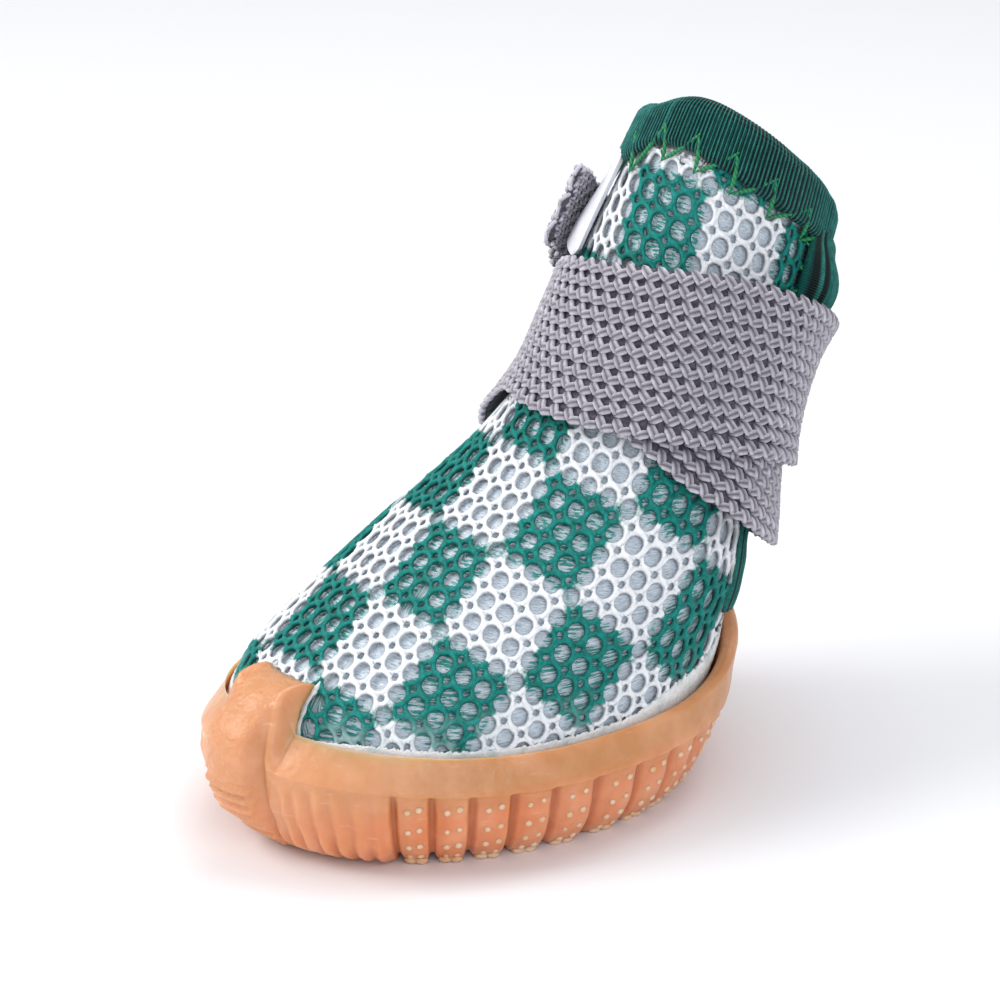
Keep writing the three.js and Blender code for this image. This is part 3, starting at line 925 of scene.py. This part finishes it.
def liningMaterial():
    material, tree, shader = newMaterial("liningCloth", lining["color"], 0.8)
    uv = uvCoords(tree)
    hatch = (0.7, 4.5, 1)
    level = noise(tree, uv, 22, 2, 0.6, stretch=hatch)
    turned = addNode(tree, "ShaderNodeMapping", None, Vector=uv, Rotation=(0, 0, 0.9), Scale=hatch)
    turned = turned.outputs[0]
    fibres = maths(tree, "MAXIMUM", level, noise(tree, turned, 20, 2, 0.6))
    threads = ramp(tree, noise(tree, turned, 9, 3, 0.7), (0.475, 0.0), (0.545, 0.95))
    greenHere = maths(tree, "MULTIPLY", threads, checkShare(tree, "checks"))
    color = blendColors(tree, greenHere, ramp(tree, fibres, *lining["fibres"]), net["greenSheen"])
    feed(shader, Base_Color=color, Sheen_Weight=0.2)
    bump(tree, shader, fibres, 0.7, 0.25)
    return material


finishPiece(makeLining(), liningMaterial(), "air_mesh")


# the ragged pale edge where the cloth is cemented into the cup
lastingEdge = {
    "from": math.radians(9.5), "tuck": 1.5, "reach": 0.7, "heelReach": 2.1, "lift": 0.12, "thickness": 0.3,
    "columns": 900, "rows": 10,
    "color": (0.8, 0.82, 0.83),
    "blotches": ((0.32, (0.52, 0.62, 0.62)), (0.45, (0.74, 0.76, 0.76)), (0.62, (0.88, 0.88, 0.88))),
}


def makeLastingEdge():
    def place(across, up):
        angle = mix(lastingEdge["from"], turn - lastingEdge["from"], across)
        rim = stationAtHeight(angle, rimHeight(angle))
        degreesRound = np.degrees(fromFront(angle))
        reach = mix(lastingEdge["reach"], lastingEdge["heelReach"], smooth(96, 116, degreesRound))
        reach = reach * smooth(12, 40, degreesRound)
        ragged = 0.45 * ripple(angle * 61, angle * 97 + 2, angle * 143) + 0.2 * ripple(angle * 290)
        shown = np.maximum(reach * (1 + 0.6 * ragged), 0.05)
        station = rim - lastingEdge["tuck"] + (lastingEdge["tuck"] + shown) * up
        fuzz = 0.09 * ripple(angle * 170 + up * 9, angle * 231 - up * 7)
        return facePoint(station, angle, lastingEdge["lift"] * (1 - 0.75 * up ** 3) + fuzz)

    piece = gridPiece("lastingEdge", lastingEdge["columns"], lastingEdge["rows"], place)
    return finishSheet(piece, lastingEdge["thickness"])


def edgeMaterial():
    material, tree, shader = newMaterial("lastingFelt", lastingEdge["color"], 0.75)
    place = objectCoords(tree)
    feed(shader, Base_Color=ramp(tree, noise(tree, place, 420, 4, 0.65), *lastingEdge["blotches"]))
    scatterLight(shader, 0.25, (0.8, 0.7, 0.6), 0.8)
    bump(tree, shader, noise(tree, place, 2400, 3, 0.6), 0.8, 0.2)
    return material


finishPiece(makeLastingEdge(), edgeMaterial(), "air_mesh")


# the rib-knit binding over the collar, and the strip of it down the back
knit = {
    "ribs": 150, "perRib": 6, "rows": 44, "ribDepth": 0.17, "seat": 0.2, "thickness": 0.7, "wall": 0.35,
    "inside": 5, "fold": 1.8, "outerShare": 0.42, "foldShare": 0.2, "ruffle": 0.16, "tug": 0.1,
    # the knit's darkest colour is painted shade in the rib valleys, and its light colour painted highlight
    # on the crests
    "deep": (0.0005, 0.008, 0.008), "color": (0.004, 0.095, 0.083), "light": (0.03, 0.24, 0.21),
}
gusset = {
    "halfAngle": 50, "spread": 18, "foot": 15.5, "ribs": 58, "perRib": 4, "rows": 60, "wall": 0.5,
    "edgeHeight": 0.3, "height": (0.6, 1.35), "ruffle": 0.2, "intoCup": 1.2, "underBinding": 1.5,
    "bulge": 2.1, "bulgeAt": 0.86,  # the strap pushes the knit out above it
}


def knitPath(angle, share):  # over the collar from the outer edge to the inner: station and height
    edge, depth = collarEdge(angle), collarDepth(angle)
    seat, wall = knit["seat"] + knit["thickness"], upperWall + fitGap + knit["thickness"]
    foldStart, foldEnd = knit["outerShare"], knit["outerShare"] + knit["foldShare"]
    outer = edge - depth * (1 - np.clip(share / foldStart, 0, 1))
    inner = edge - knit["inside"] * np.clip((share - foldEnd) / (1 - foldEnd), 0, 1)
    fold = np.clip((share - foldStart) / knit["foldShare"], 0, 1) * math.pi
    station = np.where(share < 0.5, outer, inner) + knit["fold"] * np.sin(fold)
    height = mix(seat, -wall, 0.5 - 0.5 * np.cos(fold))
    return station, height * (0.25 + 0.75 * np.sqrt(np.clip(share / 0.06, 0, 1)))


def makeCollarKnit():
    def place(across, up):
        angle = across * turn
        station, height = knitPath(angle, up)
        rib = knit["ribDepth"] * np.cos(across * knit["ribs"] * turn) * smooth(0, 0.04, up)
        soft = knit["ruffle"] * ripple(angle * 7, angle * 11 + 4) * np.clip(1 - np.abs(up - 0.3) * 3, 0, 1)
        tug = knit["tug"] * np.cos(angle * 13.5) * (1 - smooth(0.0, 0.2, up))  # the stitches pull it
        return facePoint(station + tug, angle, height + soft + rib)

    def flatAt(across, up):
        return across * knit["ribs"], up * 14

    piece = gridPiece("collarKnit", knit["ribs"] * knit["perRib"], knit["rows"], place, flatAt, joined=True)
    return finishSheet(piece, knit["wall"])


def makeGussetKnit():
    def place(across, up):
        side = across * 2 - 1
        angle = math.pi + side * np.radians(gusset["halfAngle"] + gusset["spread"] * smooth(0.62, 0.95, up))
        foot = np.maximum(gusset["foot"], stationAtHeight(angle, rimHeight(angle)) - gusset["intoCup"])
        station = mix(foot, collarEdge(angle) - collarDepth(angle) + gusset["underBinding"], up)
        rounded = np.sqrt(np.clip((1 - np.abs(side)) / 0.07, 0, 1))
        bulge = gusset["bulge"] * np.exp(-((up - gusset["bulgeAt"]) / 0.1) ** 2)
        full = mix(*gusset["height"], smooth(0.5, 0.8, up)) + bulge
        height = mix(gusset["edgeHeight"], full, rounded)
        rib = knit["ribDepth"] * np.cos(across * gusset["ribs"] * turn)
        soft = gusset["ruffle"] * ripple(station * 0.4 + 2 * angle, station * 0.23)
        return facePoint(station, angle, height + (rib + soft) * rounded)

    def flatAt(across, up):
        return across * gusset["ribs"], up * 50

    piece = gridPiece("gussetKnit", gusset["ribs"] * gusset["perRib"], gusset["rows"], place, flatAt)
    return finishSheet(piece, gusset["wall"])


def knitMaterial():
    material, tree, shader = newMaterial("ribKnit", knit["color"], 0.6)
    parts = separate(tree, uvCoords(tree))
    rib = maths(tree, "COSINE", maths(tree, "MULTIPLY", parts["X"], turn))
    tone = noise(tree, objectCoords(tree), 1100, 3, 0.6)
    # painted shade in the valleys between the ribs, and painted highlight on their crests
    color = ramp(tree, scaleAdd(tree, rib, 1.2, 0.35), (0.0, knit["deep"]), (1.0, knit["color"]))
    crestHighlight, fleck = ramp(tree, rib, (0.3, 0.0), (0.95, 1.0)), ramp(tree, tone, (0.35, 0.1), (0.65, 0.9))
    color = blendColors(tree, maths(tree, "MULTIPLY", crestHighlight, fleck), color, knit["light"])
    feed(shader, Base_Color=color, Sheen_Weight=0.06, Sheen_Roughness=0.35, Specular_IOR_Level=0.3)
    loops = maths(tree, "SINE", maths(tree, "MULTIPLY", parts["Y"], 3.2 * turn))
    bump(tree, shader, maths(tree, "ADD", loops, tone), 0.4, 0.08)
    return material


knitLook = knitMaterial()
finishPiece(makeCollarKnit(), knitLook, "rib_knit", "collar_binding")
finishPiece(makeGussetKnit(), knitLook, "rib_knit")


# the bright zigzag thread that sews the knit to the net
thread = {
    "radius": 0.23, "overlap": 1.06, "onNet": 0.12, "onKnit": knit["seat"] + knit["thickness"],
    "collarHalfAngle": 116, "collarCount": 19, "skew": 0.7, "high": 2.2, "low": -1.5,  # round the collar
    "edgeAngles": (118, 128), "edgeCount": 7, "edgeFoot": 49, "edgeSwing": 0.12,  # down the back
    "color": (0.008, 0.25, 0.08), "dark": (0.002, 0.12, 0.04), "light": (0.008, 0.29, 0.095),
}


def makeStitch():  # one bowed and round-ended stitch, its length along Z
    deselectAll()
    bpy.ops.mesh.primitive_cylinder_add(vertices=8, radius=1, depth=1, end_fill_type="TRIFAN")
    stitch = bpy.context.object
    editMesh(stitch, lambda: bpy.ops.mesh.subdivide(number_cuts=3))
    points = readPoints(stitch)
    along = points[:, 2] * 2
    reach = np.hypot(points[:, 0], points[:, 1])
    full = np.sqrt(np.clip(1.02 - np.abs(along) ** 4, 0.1, 1)) / np.where(reach > 0.9, reach, 1)
    points[:, :2] *= full[:, None]
    points[:, 1] += 1.1 * (1 - along ** 2) - 0.75
    writePoints(stitch, points)
    return stitch


def makeStitches():
    index = np.arange(thread["collarCount"] + 1)  # round the collar, from one side of the back to the other
    odd = index % 2 == 1
    half = math.radians(thread["collarHalfAngle"])
    angle = mix(-half, half, (index + thread["skew"] * odd) / thread["collarCount"])
    station = collarEdge(angle) - collarDepth(angle) + np.where(odd, thread["high"], thread["low"])
    height = thread["onNet"] + np.where(odd, thread["onKnit"], 0)
    runs = [facePoint(station, angle, height)]
    for side in (1, -1):  # and down both edges of the strip at the back
        index = np.arange(thread["edgeCount"] + 1)
        share = index / thread["edgeCount"]
        odd = index % 2 == 1
        swing = np.where(odd, thread["edgeSwing"], -thread["edgeSwing"] - 0.01)
        angle = side * (np.radians(mix(*thread["edgeAngles"], share)) + swing)
        station = mix(collarEdge(angle) - collarDepth(angle) - 0.8, thread["edgeFoot"], share)
        runs.append(facePoint(station, angle, np.where(odd, thread["onKnit"] + 0.1, thread["onNet"])))
    starts, ends = np.concatenate([run[:-1] for run in runs]), np.concatenate([run[1:] for run in runs])
    middle, run = (starts + ends) / 2, ends - starts
    outwards = unit((middle - (0, 10, 0)) * (1, 1, 0))
    along = unit(run)
    up = unit(outwards - (outwards * along).sum(-1, keepdims=True) * along)
    side = np.cross(up, along)
    radius = thread["radius"]
    return repeatPiece("collarStitches", makeStitch(), middle, side * radius, up * radius,
                       run * thread["overlap"])


def threadMaterial():
    material, tree, shader = newMaterial("stitchThread", thread["color"], 0.6)
    bands = {"wave_type": "BANDS", "bands_direction": "DIAGONAL"}
    twist = addNode(tree, "ShaderNodeTexWave", bands, Vector=objectCoords(tree), Scale=900.0, Distortion=1.0)
    twist = twist.outputs["Fac"]
    feed(shader, Base_Color=blendColors(tree, twist, thread["dark"], thread["light"]), Sheen_Weight=0.08)
    bump(tree, shader, twist, 0.5, 0.08)
    return material


finishPiece(makeStitches(), threadMaterial(), "rib_knit")


# the braided elastic strap, wound twice round the shaft
strap = {
    "station": 44, "start": 6, "freeFrom": 622, "thickness": 1.2, "gap": 0.3, "overGusset": 1.5,
    "raise": (296, 358),  # where the first turn climbs over its own start
    "coreColumns": 620, "coreRows": 66, "coreMiddle": 0.36, "coreFace": 0.62, "coreBack": 0.1,
    "coreInset": 0.012, "coreRib": 0.1, "coreEnd": 0.006,
    "rows": 11, "rowPitch": 1.56, "stitchPitch": 1.72, "braidLift": 0.84, "backLift": 0.16,
    "slimEnd": (610, 660),  # where the yarns thin out
    # falling and rising floats: degrees of lean, length, width, place in the row and along it, tilt
    "floats": ((-53, 2.15, 1.0, 0.04, 0, 0.1), (24, 1.85, 0.95, -0.2, 0.5, -0.2)), "floatHeight": 0.8,
    "color": (0.46, 0.44, 0.50), "light": (0.74, 0.71, 0.78), "shade": (0.34, 0.31, 0.38),
    # the core's two darkest colours on the next line are painted shade, seen in the gaps of the braid
    "plyShade": (0.075, 0.068, 0.09), "deep": (0.05, 0.046, 0.06), "deepLight": (0.16, 0.15, 0.18),
}
strapPath = [
    # wound, rise, flare, width
    (0, 1.4, 0, 16), (45, 0.3, 0, 16.2), (90, -5, 0.38, 17), (140, -13, 0.6, 17), (180, -15.5, 0.85, 17),
    (270, -7, 0.85, 16), (320, -0.6, 0, 14), (360, 1, 0, 15.5), (450, 0.5, 0.4, 18), (540, -3, 0.75, 18),
    (610, 3, 1.05, 14.5), (650, 9.2, 1.2, 9.4), (666, 10.9, 1.4, 8.2), (675, 11.2, 1.7, 7.6),
]


def strapPoint(wound, share, lift):  # wound in degrees, share 0 to 1 across the band
    rise, flare, width = np.moveaxis(rowAt(strapPath, wound)[..., 1:], -1, 0)
    angle = np.radians(wound)
    overGusset = smooth(math.radians(80), math.radians(104), fromFront(angle)) * strap["overGusset"]
    layer = (strap["thickness"] + strap["gap"]) * smooth(*strap["raise"], wound)
    station = strap["station"] + rise + width * (share - 0.5)
    return lastPoint(station, angle, strap["gap"] + overGusset + layer + flare + lift)


def strapArrows(wound, share, lift):  # along the band, across it and out of it
    along = unit(strapPoint(wound + 0.6, share, lift) - strapPoint(wound - 0.6, share, lift))
    up = unit(strapPoint(wound, share + 0.02, lift) - strapPoint(wound, share - 0.02, lift))
    return along, up, unit(np.cross(along, up))


strapEnd = strapPath[-1][0]
woundTable = np.linspace(strap["start"], strapEnd, 1400)
runTable = strapPoint(woundTable, 0.5 + 0 * woundTable, 0.6)
runTable = np.r_[0, np.cumsum(np.linalg.norm(np.diff(runTable, axis=0), axis=1))]
strapLength = runTable[-1]
print("dog boot: strap length", round(float(strapLength), 1), "mm")


def makeStrapBand():  # the flat core under the braid, dark as painted shade in the braid's gaps
    def place(across, up):
        wound = mix(strap["start"], strapEnd, across)
        front = up < 0.5
        share = np.where(front, up * 2, 2 - up * 2)
        full = np.sqrt(np.clip(1 - (np.abs(share - 0.5) * 2) ** 6, 0, 1))
        lift = mix(strap["coreMiddle"], np.where(front, strap["coreFace"], strap["coreBack"]), full)
        lift = lift - strap["coreRib"] * np.cos(share * strap["rows"] * turn) * front
        ends = np.clip(np.minimum(across, 1 - across) / strap["coreEnd"], 0, 1)
        share = mix(strap["coreInset"], 1 - strap["coreInset"], share)
        return strapPoint(wound, share, mix(strap["coreMiddle"], lift, ends))

    return finishSolid(gridPiece("strapCore", strap["coreColumns"], strap["coreRows"], place))


def makeFloat():  # one float of the braid: X along it, Y across its two plies, Z out of the band
    deselectAll()
    bpy.ops.mesh.primitive_cylinder_add(vertices=8, radius=0.5, depth=1, end_fill_type="NGON")
    pattern = bpy.context.object
    places = readPoints(pattern)[:, 2]
    ends = np.array([places[list(edge.vertices)] for edge in pattern.data.edges])
    upright = np.abs(ends[:, 0] - ends[:, 1]) > 0.5
    editMesh(pattern, lambda: bpy.ops.mesh.subdivide_edgering(number_cuts=3), chosen=upright, kind="edges")
    points = readPoints(pattern)
    along, around = points[:, 2] * 2, np.arctan2(points[:, 1], points[:, 0])
    reach = np.hypot(points[:, 0], points[:, 1])
    slim = np.sqrt(np.clip(1.06 - np.abs(along) ** 3.2, 0.05, 1)) * reach
    ply = np.abs(np.cos(around)) ** 0.8
    groove = np.clip(1.6 * np.sin(around) - 0.6, 0, 1) * (1 - ply)
    bow = 0.45 * (1 - along ** 2) - 0.28
    out = np.sin(around) * slim * (0.5 + 0.86 * ply) + bow
    writePoints(pattern, np.stack([along * 0.5, np.cos(around) * slim, out], -1))
    return pattern, np.maximum(groove, 0.75 * np.abs(along) ** 5)


def makeStrapBraid():
    pattern, groove = makeFloat()
    parts = []  # origins, the three arrows and the tone of every run of floats
    places = np.arange(-6, int(strapLength / strap["stitchPitch"]))
    for row in range(strap["rows"]):
        for leanDegrees, length, floatWidth, shift, later, tilt in strap["floats"]:
            run = (places + later + 0.45 * row) * strap["stitchPitch"]
            run = run[(run > 0.5) & (run < strapLength - 0.4)]
            wound = np.interp(run, runTable, woundTable)
            share = np.full_like(wound, (row + 0.5 + shift) / strap["rows"])
            along, up, outwards = strapArrows(wound, share, strap["braidLift"])
            jitter = 5 * np.sin(run * 7.3 + row * 2.1) + 3 * np.sin(run * 17.9 - row)
            lean = np.radians(leanDegrees + jitter)[:, None]
            direction = np.cos(lean) * along + np.sin(lean) * np.cross(outwards, along)
            size = (rowAt(strapPath, wound)[..., 3] / strap["rows"] / strap["rowPitch"])[:, None]
            slim = mix(1, 0.6, smooth(*strap["slimEnd"], wound))[:, None]
            side = (direction + tilt * outwards) * length * size
            front = np.cross(outwards, direction) * floatWidth * slim
            out = outwards * strap["floatHeight"] * (0.4 + 0.6 * slim)
            tone = 0.5 + 0.5 * np.sin(run * 3.3 + row * 5)
            parts.append((strapPoint(wound, share, strap["braidLift"]), side, front, out, tone))
            free = wound > strap["freeFrom"]  # the free end shows its inner face too
            inner = strapPoint(wound, share, strap["backLift"])
            parts.append([part[free] for part in (inner, side, front, -out, tone)])
    *arrows, tones = (np.concatenate(part) for part in zip(*parts))
    piece = repeatPiece("strapBraid", pattern, *arrows, along=tones)
    setShare(piece, "ply", np.tile(groove, len(tones)))
    return piece


def braidMaterial():
    material, tree, shader = newMaterial("braidYarn", strap["color"], 0.6)
    place = objectCoords(tree)
    color = ramp(tree, noise(tree, place, 1500, 3, 0.6), (0.3, strap["color"]), (0.7, strap["light"]))
    color = blendColors(tree, maths(tree, "MULTIPLY", shareOf(tree, "along"), 0.25), color, strap["shade"])
    color = blendColors(tree, maths(tree, "MULTIPLY", shareOf(tree, "ply"), 0.95), color, strap["plyShade"])
    feed(shader, Base_Color=color, Sheen_Weight=0.25, Sheen_Roughness=0.4)
    bump(tree, shader, noise(tree, place, 3200, 2, 0.5, stretch=(1, 1, 0.4)), 0.6, 0.1)
    return material


def coreMaterial():
    material, tree, shader = newMaterial("strapCoreShade", strap["deep"], 0.85)
    # painted shade: the core is dark so that the gaps between the floats read as shadow
    tone = noise(tree, objectCoords(tree), 1800, 2, 0.6)
    feed(shader, Base_Color=ramp(tree, tone, (0.35, strap["deep"]), (0.75, strap["deepLight"])))
    bump(tree, shader, tone, 0.6, 0.2)
    return material


endLoops = {
    "size": 0.62, "yarn": 0.2, "stretch": 1.15, "lift": 0.6,
    "past": (0.6, 1.2, 0.4, 1.4, 0.7, 1.1),  # degrees beyond the strap's end
    "lean": (0.5, -0.3, 0.2, -0.6, 0.3, -0.2),
}


def makeEndLoops():  # the yarns turn back at the cut end of the free end
    deselectAll()
    bpy.ops.mesh.primitive_torus_add(major_segments=14, minor_segments=6, major_radius=endLoops["size"] * mm,
                                     minor_radius=endLoops["yarn"] * mm)
    loop = bpy.context.object
    shares = np.linspace(0.04, 0.96, len(endLoops["past"]))
    wound = strapEnd + np.array(endLoops["past"])
    along, up, outwards = strapArrows(wound, shares, endLoops["lift"])
    side = unit(up + np.array(endLoops["lean"])[:, None] * outwards)
    piece = repeatPiece("strapEndLoops", loop, strapPoint(wound, shares, endLoops["lift"]),
                        along * endLoops["stretch"], side, np.cross(along, side), along=0.5 + 0 * shares)
    setShare(piece, "ply", np.zeros(len(piece.data.vertices)))
    return piece


finishPiece(makeStrapBand(), coreMaterial(), "braided_elastic", "strap")
yarn = braidMaterial()
finishPiece(makeStrapBraid(), yarn, "braided_elastic")
finishPiece(makeEndLoops(), yarn, "braided_elastic")


# the smooth white strip of hook tape up the front
tape = {
    "from": -64, "to": -32, "low": 51, "top": 62.5, "width": 7.5, "thickness": 0.7, "gap": 0.35,
    "flare": 1.3, "corner": 1.4, "rounding": 0.2,
    "color": (0.80, 0.80, 0.88), "shade": (0.74, 0.74, 0.83), "light": (0.86, 0.86, 0.92),
}


def makeTape():
    def place(across, up):
        angle = np.radians(mix(tape["from"], tape["to"], across))
        fromSide = np.minimum(across, 1 - across) * tape["width"]
        fromEnd = np.minimum(up, 1 - up) * (tape["top"] - tape["low"])
        lifted = tape["flare"] * (1 - smooth(0.1, 0.9, up)) * (1 - across)
        rounding = tape["rounding"] * (1 - np.clip(np.minimum(fromSide, fromEnd) / 0.5, 0, 1)) ** 2
        cornerShare = np.clip(1 - fromSide / tape["corner"], 0, 1) ** 2 * np.clip(1 - fromEnd / 4, 0, 1)
        tuck = np.where(up < 0.5, 0.7, -0.7) * tape["corner"] * cornerShare
        station = mix(tape["low"], tape["top"], up) + tuck
        return facePoint(station, angle, tape["gap"] + lifted + tape["thickness"] - rounding)

    return finishSheet(gridPiece("hookTape", 40, 48, place), tape["thickness"], 50)


def tapeMaterial():
    material, tree, shader = newMaterial("smoothTape", tape["color"], 0.38)
    place = objectCoords(tree)
    tone = noise(tree, place, 300, 2, 0.5)
    feed(shader, Base_Color=ramp(tree, tone, (0.3, tape["shade"]), (0.7, tape["light"])))
    scatterLight(shader, 0.2, (0.8, 0.8, 0.9), 0.8)
    bump(tree, shader, noise(tree, place, 1600, 2, 0.5), 0.15, 0.05)
    return material


finishPiece(makeTape(), tapeMaterial(), "smooth_tape", "hook_tape")


# the foam insole, lying on the cup's floor
insole = {
    "thickness": 1.5, "crown": 0.35,
    "color": (0.05, 0.053, 0.06), "shade": (0.03, 0.032, 0.036), "light": (0.085, 0.09, 0.1),
}


def makeInsole():
    def place(across, up):
        angle = across * turn
        top = up > 0.5
        share = np.where(top, 1 - up, up) * 2  # 0 at the centre line and 1 at the edge, on either face
        middle = lastBase + insole["thickness"] / 2
        edge = lastPoint(stationAtHeight(angle, middle), angle, -upperWall - fitGap)
        point = mix(seamPoint(angle, 0), edge, share[:, None] ** 0.8)
        roll = np.sqrt(np.clip(1 - share ** 8, 0, 1)) * insole["thickness"] / 2
        crown = insole["crown"] * (1 - share ** 2) * top
        point[:, 2] = middle + np.where(top, roll, -roll) + crown
        return point

    return finishSolid(gridPiece("foamInsole", 160, 40, place))


def insoleMaterial():
    material, tree, shader = newMaterial("foam", insole["color"], 0.9)
    foam = addNode(tree, "ShaderNodeTexVoronoi", None, Vector=objectCoords(tree), Scale=1400.0)
    cells = foam.outputs["Distance"]
    feed(shader, Base_Color=ramp(tree, cells, (0.1, insole["shade"]), (0.7, insole["light"])))
    bump(tree, shader, cells, 0.5, 0.15)
    return material


foamInsole = makeInsole()
finishPiece(foamInsole, insoleMaterial(), "foam_insole", "insole")

print("dog boot: finished")
